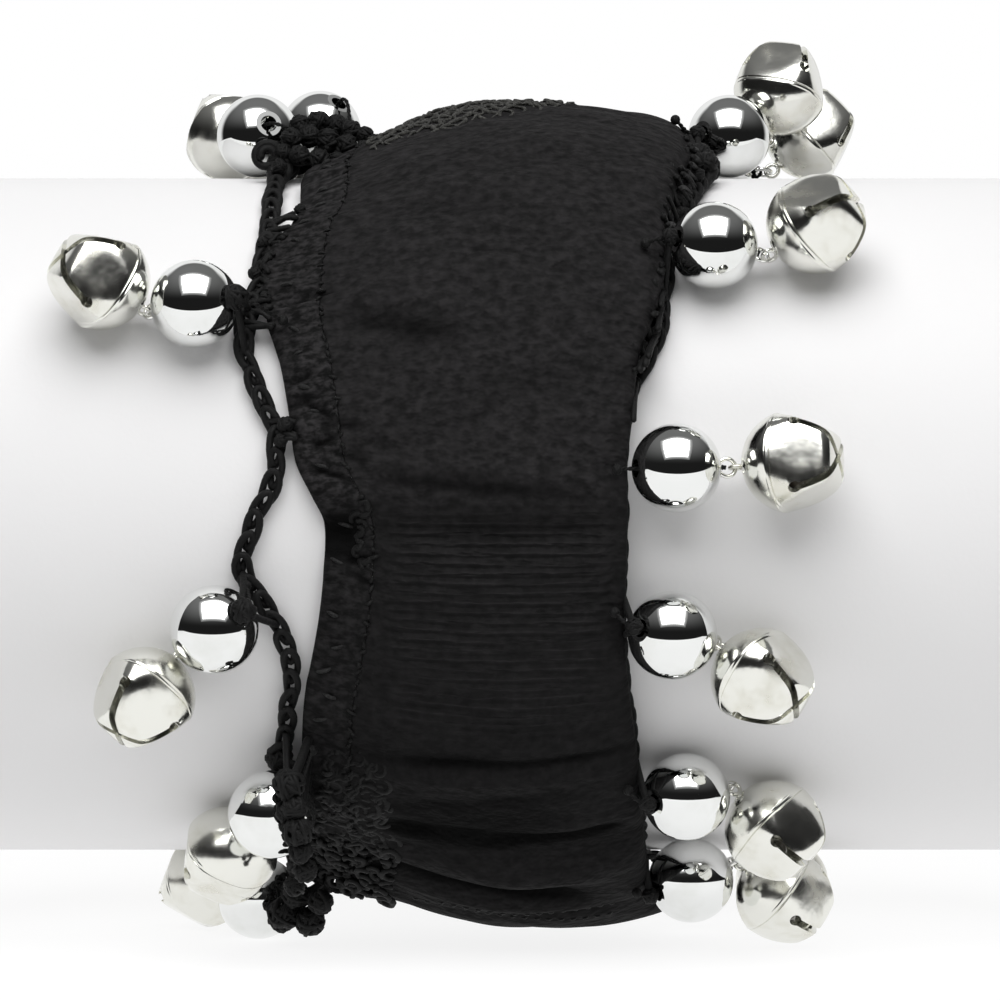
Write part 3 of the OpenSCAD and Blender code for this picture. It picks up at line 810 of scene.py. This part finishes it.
def chain(shape, table, over_edge, pitch, seed):
    """A row of interlocked crochet stitches, each a little turned and drawn in by its own amount."""
    uneven = random.Random(seed)
    steps = 8
    centre, radius, angle, stitches = cord_path(table, over_edge, pitch, steps)
    side, up = frames(centre, outward(angle), True)
    count = len(centre)
    t = around(22)
    for k in range(stitches):
        r = radius[(k * steps + steps) % count]
        yarn_r = (0.31 + 0.05 * uneven.random()) * r
        open_by = 0.92 + 0.3 * uneven.random()
        roll = 0.55 * math.sin(2.4 * k) + 0.35 * (uneven.random() - 0.5)
        along = (0.5 - 0.5 * np.cos(t)) * 1.72 * steps
        width = np.sin(t) * (0.42 + 0.30 * (0.5 - 0.5 * np.cos(t))) * r * open_by
        lift = (-0.42 * np.cos(t) - 0.12 + 0.12 * np.cos(2 * t)) * (r - yarn_r) * 1.2
        width, lift = (
            width * math.cos(roll) - lift * math.sin(roll),
            width * math.sin(roll) * 0.7 + lift * math.cos(roll),
        )
        at = k * steps + along
        i = np.floor(at).astype(int)
        f = (at - i)[:, None]
        a, b = i % count, (i + 1) % count
        line, across, upward = (value[a] * (1 - f) + value[b] * f for value in (centre, side, up))
        loop = line + across * width[:, None] + upward * lift[:, None]
        sweep(shape, loop, yarn_r, upward, 7, True)


def posts(shape, table, over_edge, spans, pitch, slant, seed):
    """Crochet stitches that join the cloth's border to its edging cord."""
    uneven = random.Random(seed)
    for first, last in spans:
        angle = first
        while angle < last:
            x, height, radius = (float(v) for v in cord_at(table, over_edge, angle))
            edge = float(cuff_border(angle) - 0.4 if over_edge else hem_border(angle) + 0.5)
            lean = uneven.uniform(-slant, slant)
            top = float(cloth_height(angle, edge))
            middle = 0.5 * (top + height) + uneven.uniform(0, 0.6)
            path = [
                on_tube(edge, angle + lean, top + 0.1),
                on_tube(0.6 * edge + 0.4 * x, angle + 0.5 * lean, middle),
                on_tube(x, angle, height + 0.2 * radius),
            ]
            thick = uneven.uniform(0.20, 0.34)
            sweep(shape, smooth_path(path, 9), thick, outward(angle), 6)
            angle += math.degrees(pitch / TUBE_R) * uneven.uniform(0.8, 1.2)


def curl(shape, x, angle, height, radius, yarn_r, tilt, seed):
    """One uneven round loop of crochet yarn, tilted out of the surface."""
    t = around(30)
    reach = radius * (1 + 0.08 * np.cos(2 * t + seed) + 0.06 * np.cos(5 * t + 2 * seed))
    across, along = reach * np.cos(t + seed), reach * np.sin(t + seed)
    lift = height + along * math.sin(tilt) + 0.22 * radius * np.sin(2 * t + seed)
    turn = angle + np.degrees(along * math.cos(tilt) / (TUBE_R + height))
    path = on_tube(x + across, turn, lift)
    sweep(shape, path, yarn_r, outward(angle), 7, True)


def bobble(shape, centre, radius, seed):
    """A crocheted ball: one yarn wound round it again and again, each time at another slant."""
    turns = random.Random(seed)
    t = around(176)
    thick = 0.24 * min(1.0, radius / 1.2)
    slant = 1.0 + 0.55 * np.sin(5 * t + turns.uniform(0, 6.28))
    wind = 11 * t
    x, y = turned(np.cos(wind), np.sin(wind) * np.cos(slant), 3 * t)
    wound = np.stack([x, y, np.sin(wind) * np.sin(slant)], axis=-1)
    lumps = 1 + 0.10 * np.cos(8 * t + turns.uniform(0, 6.28)) + 0.05 * np.cos(21 * t)
    tilt = turns.uniform(0, 6.28)
    c, s = math.cos(tilt), math.sin(tilt)
    turn = np.array([[c, 0, s], [0, 1, 0], [-s, 0, c]])
    path = centre + (wound * (lumps * (radius - thick))[:, None]) @ turn.T
    sweep(shape, path, thick * (1 + 0.25 * np.cos(53 * t)), unit(path - centre + 1e-6), 6, True)


# Angles between which the edging is worked onto the cloth; elsewhere the chain swings free.
LEFT_JOINS = [(-180, -166), (-152, -92), (-90, -40), (11.5, 14.5), (30, 53.5), (75, 132), (160, 180)]
RIGHT_JOINS = [(20, 126)]
# x, angle, height, radius, tilt of the two round loops low on the left edging.
LEFT_CURLS = [[-18.3, -71, 2.6, 0.8, 0.2], [-17.4, -79, 2.8, 0.8, 0.3]]
# x, angle, height, radius of the lumps of the left edging.
LEFT_LUMPS = [
    [-20.9, 71.5, 2.2, 0.75], [-21.8, 46.5, 1.9, 0.55], [-22.4, 40, 1.8, 0.6], [-21.3, 35, 2, 0.55],
    [-19.2, 13.6, 2, 0.75], [-19.6, 11.2, 1.9, 0.6], [-18.5, 54.5, 2.2, 0.55],
]
# Past the right cord, angle, height, radius of the lumps of its knots.
RIGHT_LUMPS = [
    [-0.4, 76, 2.6, 1.3], [0.2, 72.5, 2.4, 1.1], [-0.9, 71, 2.8, 0.95], [-0.2, 67.5, 2, 0.8],
    [-0.6, 62, 1.9, 0.65], [-0.8, 57.5, 2, 0.75], [-0.2, 55, 1.7, 0.6], [-0.7, 49, 1.8, 0.6],
    [-0.3, 45, 1.6, 0.55], [-0.6, 38, 1.8, 0.7], [-0.2, 35.5, 1.6, 0.6], [-0.5, 29, 1.6, 0.75],
    [-0.8, 26.5, 1.7, 0.55], [-0.2, 83, 1.8, 0.8], [-0.4, 92, 1.7, 0.7], [-0.2, 101, 1.6, 0.75],
    [-0.5, 112, 1.7, 0.7],
]
# x, y, z, radius of the lumps of the big knot that ties the two top left drops.
TOP_KNOT = [
    [-19.1, -6.4, 78.4, 1.05], [-17.4, -5.6, 78.8, 1.1], [-15.7, -5.8, 78.4, 1.1],
    [-14.2, -6.2, 77.9, 1.05], [-12.9, -6.8, 77.4, 0.85], [-11.9, -7.4, 76.9, 0.6],
    [-19.9, -7.8, 77, 1.05], [-18.2, -7.4, 77.3, 1.1], [-16.4, -7.6, 76.9, 1.15],
    [-14.6, -8, 76.4, 1.05], [-13, -8.6, 76, 0.8], [-20.6, -8.6, 75.6, 0.9], [-19, -9.2, 75.3, 1],
    [-17.2, -9.4, 75, 1], [-15.4, -9.8, 74.8, 0.8], [-17.6, -2.6, 78.2, 1.2],
    [-15.2, -2.8, 78.2, 1.2],
]
# x, y, z, radius of the bobbles that hang in front of the low left beads and under them.
HANGING_BOBBLES = [
    [-18.9, -33.2, 17, 1.45], [-18.1, -33.2, 12.9, 1.4], [-17.6, -31, 9.2, 1.1],
    [-18.4, -33.4, 15, 1.15], [-17.9, -32.4, 11, 1.1], [-18.6, -28.6, 7.6, 1],
    [-20.6, -6.6, 3.1, 1.6], [-18.1, -7.4, 2.4, 1.45], [-19.4, -8.2, 5, 1.3], [-17, -9.6, 4.4, 1.2],
]

left_edging = Shape()
chain(left_edging, LEFT_CORD, False, pitch=2.0, seed=3)
posts(left_edging, LEFT_CORD, False, LEFT_JOINS, pitch=0.60, slant=2.6, seed=5)
for seed, (x, angle, height, radius, tilt) in enumerate(LEFT_CURLS):
    curl(left_edging, x, angle, height, radius, 0.40, tilt, seed)
for seed, (x, angle, height, radius) in enumerate(LEFT_LUMPS):
    bobble(left_edging, on_tube(x, angle, height), radius, seed + 40)
# The coiled yarn end in front of the top left bead.
t = np.linspace(0, 9.2, 40)
reach = 1.32 - 0.085 * t
coil_x = -22.2 + reach * np.cos(t + 0.6)
coil_z = 75.3 + reach * np.sin(t + 0.6)
sweep(left_edging, np.stack([coil_x, -8.2 - 0.06 * t, coil_z], axis=-1), 0.40, np.array([0.0, -1.0, 0.0]))
left_edging.put("left_chain", yarn, "left_edging_cord")

right_edging = Shape()
chain(right_edging, RIGHT_CORD, True, pitch=1.8, seed=4)
posts(right_edging, RIGHT_CORD, True, RIGHT_JOINS, pitch=0.75, slant=8.0, seed=6)
for seed, (past, angle, height, radius) in enumerate(RIGHT_LUMPS):
    x = float(cord_at(RIGHT_CORD, True, angle)[0]) + past
    bobble(right_edging, on_tube(x, angle, height), radius, seed + 20)
right_edging.put("right_chain", yarn, "right_edging_cord")

# Bobbles sit where the edging cords thicken, and small ones tie each bead to its edging,
# but for three drops: the two on the big knot, and one that hangs from the cloth by its thread alone.
UNTIED = ("left_{}_1", "left_{}_9", "right_{}_3")
bobbles = Shape()
for table, over_edge in ((LEFT_CORD, False), (RIGHT_CORD, True)):
    for seed, (angle, x, r) in enumerate(table):
        if r >= 1.2:
            border = float(edge_right(angle)) if over_edge else 0.0
            bobble(bobbles, on_tube(border + x, angle, GAP + r), r * 1.05, seed)
for seed, (name, drop) in enumerate(DROPS.items()):
    if name in UNTIED:
        continue
    left = name.startswith("left")
    mouth = drop.bead - drop.bead_axis * TIE_AT
    bobble(bobbles, mouth, 1.15 if left else 0.8, seed + 50)
    angle = angle_of(mouth)
    for foot_angle in (angle - 4.5, angle + 3.5):
        x, height, _ = cord_at(LEFT_CORD if left else RIGHT_CORD, not left, foot_angle)
        middle = 0.5 * (mouth + on_tube(x, foot_angle, height + 0.8))
        tie = smooth_path([mouth, middle, on_tube(x, foot_angle, height)], 14)
        sweep(bobbles, tie, 0.33, outward(angle), 7)
for seed, (x, y, z, r) in enumerate(HANGING_BOBBLES):
    centre = np.array([x, y, z])
    bobble(bobbles, centre, r, seed + 90)
    angle = angle_of(centre)
    foot_x = edge_left(angle) + 0.6
    foot = on_tube(foot_x, angle, cloth_height(angle, foot_x))
    middle = 0.5 * (centre + foot) + outward(angle) * 0.6
    sweep(bobbles, smooth_path([centre, middle, foot], 14), 0.42, outward(angle), 7)
for seed, (x, y, z, r) in enumerate(TOP_KNOT):
    bobble(bobbles, np.array([x, y, z]), r, seed + 120)
bobbles.put("crochet_bobbles", yarn)


# Threads through the beads, each a twisted yarn with its end knot.
threads = Shape()
t = around(60)
winds = np.stack([np.cos(5 * t) * np.cos(2 * t), np.cos(5 * t) * np.sin(2 * t), np.sin(5 * t)], axis=-1)
for drop in DROPS.values():
    twisted(threads, smooth_path(drop.thread(), 90), THREAD_R, drop.bend, 1.1)
    path = drop.knot + winds * (KNOT_R - 0.2)
    sweep(threads, path, 0.2, unit(path - drop.knot + 1e-6), 6, True)
threads.put("bead_yarns", yarn, "bead_threads")


# Stitches on the cloth.
def cloth_point(x, angle, lift):
    """A point just over the cloth's own face, folds and all."""
    hem_lift = np.where(x < seam(angle), HEM_LIFT, 0.0)
    return on_tube(x, angle, knit_height(angle, x) + hem_lift + lift)


def stitch(shape, x, angle, length, lean, radius):
    """One short stitch that dips into the cloth at both ends."""
    u = np.linspace(-0.5, 0.5, 7)
    along = angle + np.degrees(length * u * math.sin(lean) / CLOTH_R)
    line = cloth_point(x + length * u * math.cos(lean), along, radius * (0.7 - 5.6 * u**2))
    sweep(shape, line, radius * (1 - 1.6 * u**2), outward(angle), 6)


def stitch_curl(shape, x, angle, radius, lift, hand):
    """One curl of the motif: an open, uneven arc of yarn lying on the cloth."""
    t = np.linspace(0, hand.uniform(2.4, 4.6), 18) + hand.uniform(0, 6.28)
    flat = hand.uniform(0.55, 1.0)
    slant = hand.uniform(0, 3.14)
    across, along = turned(radius * np.cos(t), flat * radius * np.sin(t), slant)
    lift = lift + 0.08 * np.sin(1.7 * t + slant)
    path = cloth_point(x + across, angle + np.degrees(along / HEM_R), lift)
    sweep(shape, path, hand.uniform(0.22, 0.34), outward(angle), 6)


# The crocheted motif low on the hem, and a few curls by the fold higher up.
motif = Shape()
hand = random.Random(23)
for row in range(26):
    angle = MOTIF_ANGLE - MOTIF_STEP_ANGLE * row
    bulge = 1.9 * min(1.0, max(0.0, (-56.0 - angle) / 14.0))
    for column in range(6):
        x = MOTIF_X + MOTIF_STEP_X * (column + 0.5 * (row % 2)) + hand.uniform(-0.3, 0.3)
        if hand.uniform(-1.0, 0.2) < 0.30 * row and x < -9.8 - 0.05 * abs(row - 12):
            place = angle + hand.uniform(-0.6, 0.6)
            radius = hand.uniform(0.5, 0.95)
            stitch_curl(motif, x, place, radius, bulge * hand.uniform(0.3, 1.0) - 0.15, hand)
for k in range(10):
    stitch_curl(motif, -12.4 + hand.uniform(-0.5, 0.5), 1.4 - 0.95 * k, hand.uniform(0.35, 0.6), 0.0, hand)
motif.put("crochet_motif", motif_yarn)

# Overcast stitches along the hem, one at most of its puckers, and two sewn rows under the cuff.
overcast = Shape()
hand = random.Random(11)
for k in range(GATHERS):
    angle = -180 + 360 * (k + hand.uniform(-0.2, 0.2)) / GATHERS
    x = edge_left(angle) + hand.uniform(1.2, 2.4)
    if hand.random() < 0.75:
        length, lean = hand.uniform(0.8, 1.5), hand.uniform(-0.7, 0.5)
        stitch(overcast, x, angle, length, lean, hand.uniform(0.16, 0.24))
for angle, first, last in ((-71.0, -5.5, 11.0), (-75.5, -8.0, 11.5)):
    for x in np.arange(first, last, 1.15):
        stitch(overcast, x, angle - 0.15 * x, 0.7, hand.uniform(-0.2, 0.5), 0.11)
overcast.put("overcast_stitches", stitch_yarn)

# The small uneven stitches that sew the hem down.
seam_line = Shape()
for k in range(SEAM_STITCHES):
    angle = -180 + 360 * (k + hand.uniform(-0.4, 0.4)) / SEAM_STITCHES
    x = seam(angle) + hand.uniform(-0.15, 0.15)
    length, lean = hand.uniform(0.4, 1.0), hand.uniform(-1.5, 1.5)
    stitch(seam_line, x, angle, length, lean, hand.uniform(0.12, 0.20))
seam_line.put("seam_stitches", motif_yarn)

# The open net that edges the cloth over the top: zigzag strands that meet, ragged at their ends, in pale
# yarn that is painted sheen.
top_net = Shape()
hand = random.Random(31)
for k in range(NET_STRANDS):
    first = 67.8 + 0.045 * max(0, k - 6) ** 2 + hand.uniform(0.0, 3.5)
    last = 104.0 - 1.0 * k + hand.uniform(-5.0, 5.0)
    angle = np.arange(first, last, 0.4)
    if len(angle) < 8:
        continue
    turn = 2 * np.pi * angle / NET_CELL + np.pi * (k % 2)
    drift = 0.24 * np.sin(0.7 * angle + hand.uniform(0.0, 6.28)) + 0.12 * np.sin(2.9 * angle + k)
    x = NET_X + NET_PITCH * k + NET_PITCH / 2 * np.cos(turn) + drift
    ends = np.minimum(1.0, np.minimum(angle - first, last - angle) / 1.2)
    lift = 0.22 * ends - 0.12 + 0.08 * np.sin(2.3 * angle + 1.7 * k)
    thick = (0.18 + 0.06 * np.sin(1.9 * angle + 2.2 * k)) * (0.6 + 0.4 * ends)
    sweep(top_net, cloth_point(x, angle, lift), thick, outward(angle), 6)
top_net.put("top_net", net_yarn_painted_sheen)


# Bells.
def bell_radius(direction):
    """Distance of the bell's skin from its centre: dome, barrel, four leaning flats and the cut end.

    The higher soft is, the harder the edges between them.
    """
    soft = 13
    lean = math.radians(90 - PETAL_SLOPE)
    across = np.maximum(np.hypot(direction[..., 0], direction[..., 1]), 1e-9)
    polar = np.degrees(np.arctan2(across, -direction[..., 2]))
    barrel = (across / BELL_R) ** soft + (1 / (BELL_R + BARREL_ROUND)) ** soft
    for k in range(4):
        a = math.pi / 2 * k
        flat = np.array([math.cos(lean) * math.cos(a), math.cos(lean) * math.sin(a), math.sin(lean)])
        barrel = barrel + (np.maximum(direction @ flat, 0) / PETAL_FLAT) ** soft
    barrel = (barrel + (np.maximum(direction[..., 2], 0) / PETAL_END) ** soft) ** (-1 / soft)
    dome = BELL_R - BELL_STEP
    rim = math.degrees(math.atan2(BELL_R, -BARREL_FROM))
    step = np.clip((polar - rim + RIM_BLEND) / RIM_BLEND, 0, 1)
    step = step * step * (3 - 2 * step)
    groove = 0.10 * np.exp(-(((polar - rim - 3.2) / 0.55) ** 2))
    return dome + (barrel - dome) * step - groove


def bell_direction(polar, azimuth):
    """The direction from a bell's centre, with polar counted from its loop."""
    polar, azimuth = np.broadcast_arrays(np.radians(polar), np.radians(azimuth))
    flat = np.sin(polar)
    return np.stack([flat * np.cos(azimuth), flat * np.sin(azimuth), -np.cos(polar)], axis=-1)


def slot_half_angle(polar, azimuth):
    """Half the angle that a slot takes out of a row of the skin."""
    direction = bell_direction(polar, azimuth)
    point = direction * bell_radius(direction)[..., None]
    z, reach = point[..., 2], np.hypot(point[..., 0], point[..., 1])
    hole = np.sqrt(np.maximum(0, HOLE_R**2 - (z - SLOT_FROM) ** 2))
    half = np.where(z > SLOT_FROM, np.maximum(hole, SLOT_W / 2), hole)
    return np.degrees(np.arcsin(np.clip(half / np.maximum(reach, 1e-6), 0, math.sin(math.radians(45)))))


# Rows of a bell's skin, in degrees: closer together at the dome's rim, then past the start of the slots.
RIM_ROWS = [75, 76, 76.4, 76.8, 77.2, 77.6, 78, 78.6, 79.5, 80.3, 80.8, 81.2, 81.7, 82.4, 84, 87, 91, 95]
OPEN_ROWS = [0, 0.4, 1.2, 2.4, 4, 6, 8, 10, 12, 13.5, 15, 18, 22, 27, 32, 37, 41, 45, 48, 50, 52, 54, 57]
OPEN_ROWS += [61, 65, 69, 72]


def bell_shell(columns):
    """A bell's shell of one dome and four petals: its outer skin, inner skin and the slots' sides."""
    dome = np.concatenate([np.linspace(0.01, 73, 14), RIM_ROWS])
    start = 90 + math.degrees(math.atan2(SLOT_FROM - HOLE_R, BELL_R))
    tip = 180 - math.degrees(math.atan2(SLOT_W / 2 * math.sqrt(2), PETAL_END))
    polar = np.concatenate([dome, start + np.array(OPEN_ROWS), [tip]])[:, None]
    first_open = len(dome)
    shape = Shape()
    for k in range(4):
        edge = 45 + 90 * k
        half = slot_half_angle(polar, np.full_like(polar, edge))
        half[:first_open + 1] = 0
        half[-1] = 45
        azimuth = edge + half + (90 - 2 * half) * np.linspace(0, 1, columns)[None, :]
        direction = bell_direction(polar, azimuth)
        r = bell_radius(direction)[..., None]
        outer, inner = direction * r, direction * (r - BELL_WALL)
        rows = len(polar)
        shape.add(outer, grid_faces(rows, columns, False, False))
        shape.add(inner, grid_faces(rows, columns, False, False)[:, ::-1])
        for column in (0, columns - 1):
            wall = np.stack([outer[first_open:, column], inner[first_open:, column]], axis=1)
            shape.add(wall, grid_faces(rows - first_open, 2, False, False))
    return np.concatenate(shape.points), shape.faces


def add_loop(shape, centre, normal, across):
    """The wire loop on a bell's dome."""
    steps, sides = 40, 12
    t = around(steps)[:, None, None]
    w = around(sides)[None, :, None]
    radial = np.cos(t) * across + np.sin(t) * np.cross(normal, across)
    points = centre + radial * (LOOP_R + LOOP_WIRE_R * np.cos(w)) + normal * LOOP_WIRE_R * np.sin(w)
    shape.add(points, grid_faces(steps, sides, True, True))


bell_silver = silver_finish("bell_silver", (0.82, 0.82, 0.77, 1), (0.70, 0.69, 0.61, 1), 0.22, 0.00012)
bead_silver = silver_finish("bead_silver", (0.84, 0.85, 0.84, 1), (0.78, 0.79, 0.77, 1), 0.03, 0.0)
ring_silver = silver_finish("ring_silver", (0.88, 0.88, 0.86, 1), (0.70, 0.70, 0.66, 1), 0.09, 0.0002)
pellet_steel = silver_finish("pellet_steel", (0.30, 0.29, 0.27, 1), (0.16, 0.13, 0.10, 1), 0.35, 0.0003)

shell_points, shell_faces = bell_shell(15)
for name, drop in DROPS.items():
    ez, ex = drop.bell_axis, drop.bend
    ey = np.cross(ez, ex)
    turn = math.radians(drop.turn)
    c, s = math.cos(turn), math.sin(turn)
    local = shell_points @ np.array([[c, s, 0], [-s, c, 0], [0, 0, 1]])
    shape = Shape()
    shape.add(drop.bell + local @ np.array([ex, ey, ez]), shell_faces)
    add_loop(shape, drop.bell + ez * (LOOP_PAST_PIVOT - PIVOT_TO_BELL), ex, ez)
    shape.put(name.format("jingle"), bell_silver, name.format("bell"), sharp=38, weld=0.002)


# CAD nodes that stay, with their finishes.
def dress(node, material):
    """Gives a CAD node one finish all over."""
    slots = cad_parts[node].data.materials
    if len(slots) == 0:
        slots.append(material)
    for k in range(len(slots)):
        slots[k] = material


for name in DROPS:
    dress(name.format("bead"), bead_silver)
dress("jump_rings", ring_silver)
dress("bell_pellets", pellet_steel)
dress("display_tube", tube_finish())


# Floor, light, world and camera.
def floor():
    """A white sheet just under the ground plane, bright enough to vanish into the background."""
    finish = Finish("white_floor", Roughness=0.9, Specular_IOR_Level=0.1, Emission_Strength=0.86)
    soft = finish.noise(finish.place(), 9, 2.0)
    finish.set("Base Color", finish.mix(soft, grey(0.14), grey(0.16)))
    finish.set("Emission Color", grey(1.0))
    mesh = bpy.data.meshes.new("floor")
    corners = [(x, y, -0.0001) for x, y in ((-1.0, -0.2), (1.0, -0.2), (1.0, 1.0), (-1.0, 1.0))]
    mesh.from_pydata(corners, [], [(0, 1, 2, 3)])
    mesh.materials.append(finish.material)
    link("floor", mesh)


def softbox(name, y, z, width, height, power):
    """A white rectangular lamp high over the front, turned to the middle of the part."""
    light = bpy.data.lights.new(name, "AREA")
    light.shape = "RECTANGLE"
    light.size, light.size_y = width, height
    light.energy = power
    lamp = link(name, light)
    lamp.location = (0.0, y, z)
    ahead = Vector((0.0, 0.0, 0.04)) - Vector(lamp.location)
    lamp.rotation_euler = ahead.to_track_quat("-Z", "Y").to_euler()


def studio_world():
    """White to the camera, and to all else a dark room with a bright card behind, low down.

    What shines sees its walls a little darker and its ceiling a little brighter.
    """
    world = bpy.data.worlds.new("studio")
    bpy.context.scene.world = world
    world.use_nodes = True
    world.node_tree.nodes.clear()
    room = Nodes(world.node_tree)
    _, depth, rise = room.parts(room.node("ShaderNodeTexCoord", output="Generated"))
    card = depth.between(0.32, 0.62) * rise.between(0.80, 0.70)
    ceiling = rise.between(0.15, 1.0) * 0.17 - 0.098
    level = card * 0.85 + 0.11 + ceiling * room.node("ShaderNodeLightPath", output="Is Glossy Ray")
    seen = room.node("ShaderNodeBackground", inputs={"Color": grey(1.0), "Strength": 1.0})
    lit = room.node("ShaderNodeBackground", inputs={"Color": grey(1.0), "Strength": level})
    to_camera = room.node("ShaderNodeLightPath", output="Is Camera Ray")
    surface = room.node("ShaderNodeMixShader", inputs={0: to_camera, 1: lit, 2: seen})
    room.node("ShaderNodeOutputWorld", inputs={0: surface})


floor()
studio_world()
# One softbox: a bright middle and two faint rims that soften its edge in the silver.
softbox("softbox_middle", -0.300, 0.440, 0.52, 0.46, 2.85)
softbox("softbox_rim", -0.301, 0.442, 0.60, 0.54, 0.36)
softbox("softbox_outer_rim", -0.302, 0.444, 0.68, 0.62, 0.22)

# The camera stands 430 mm in front of the tube's axis, a little above it.
camera_data = bpy.data.cameras.new("camera")
camera_data.lens = 159.4
camera_data.sensor_width = 36.0
camera_data.clip_start = 0.01
camera = link("camera", camera_data)
camera.location = (0.0, -0.430, 0.04256)
camera.rotation_euler = (math.pi / 2, 0.0, 0.0)
bpy.context.scene.camera = camera
bpy.context.scene.view_settings.view_transform = "Standard"
bpy.context.scene.view_settings.look = "None"
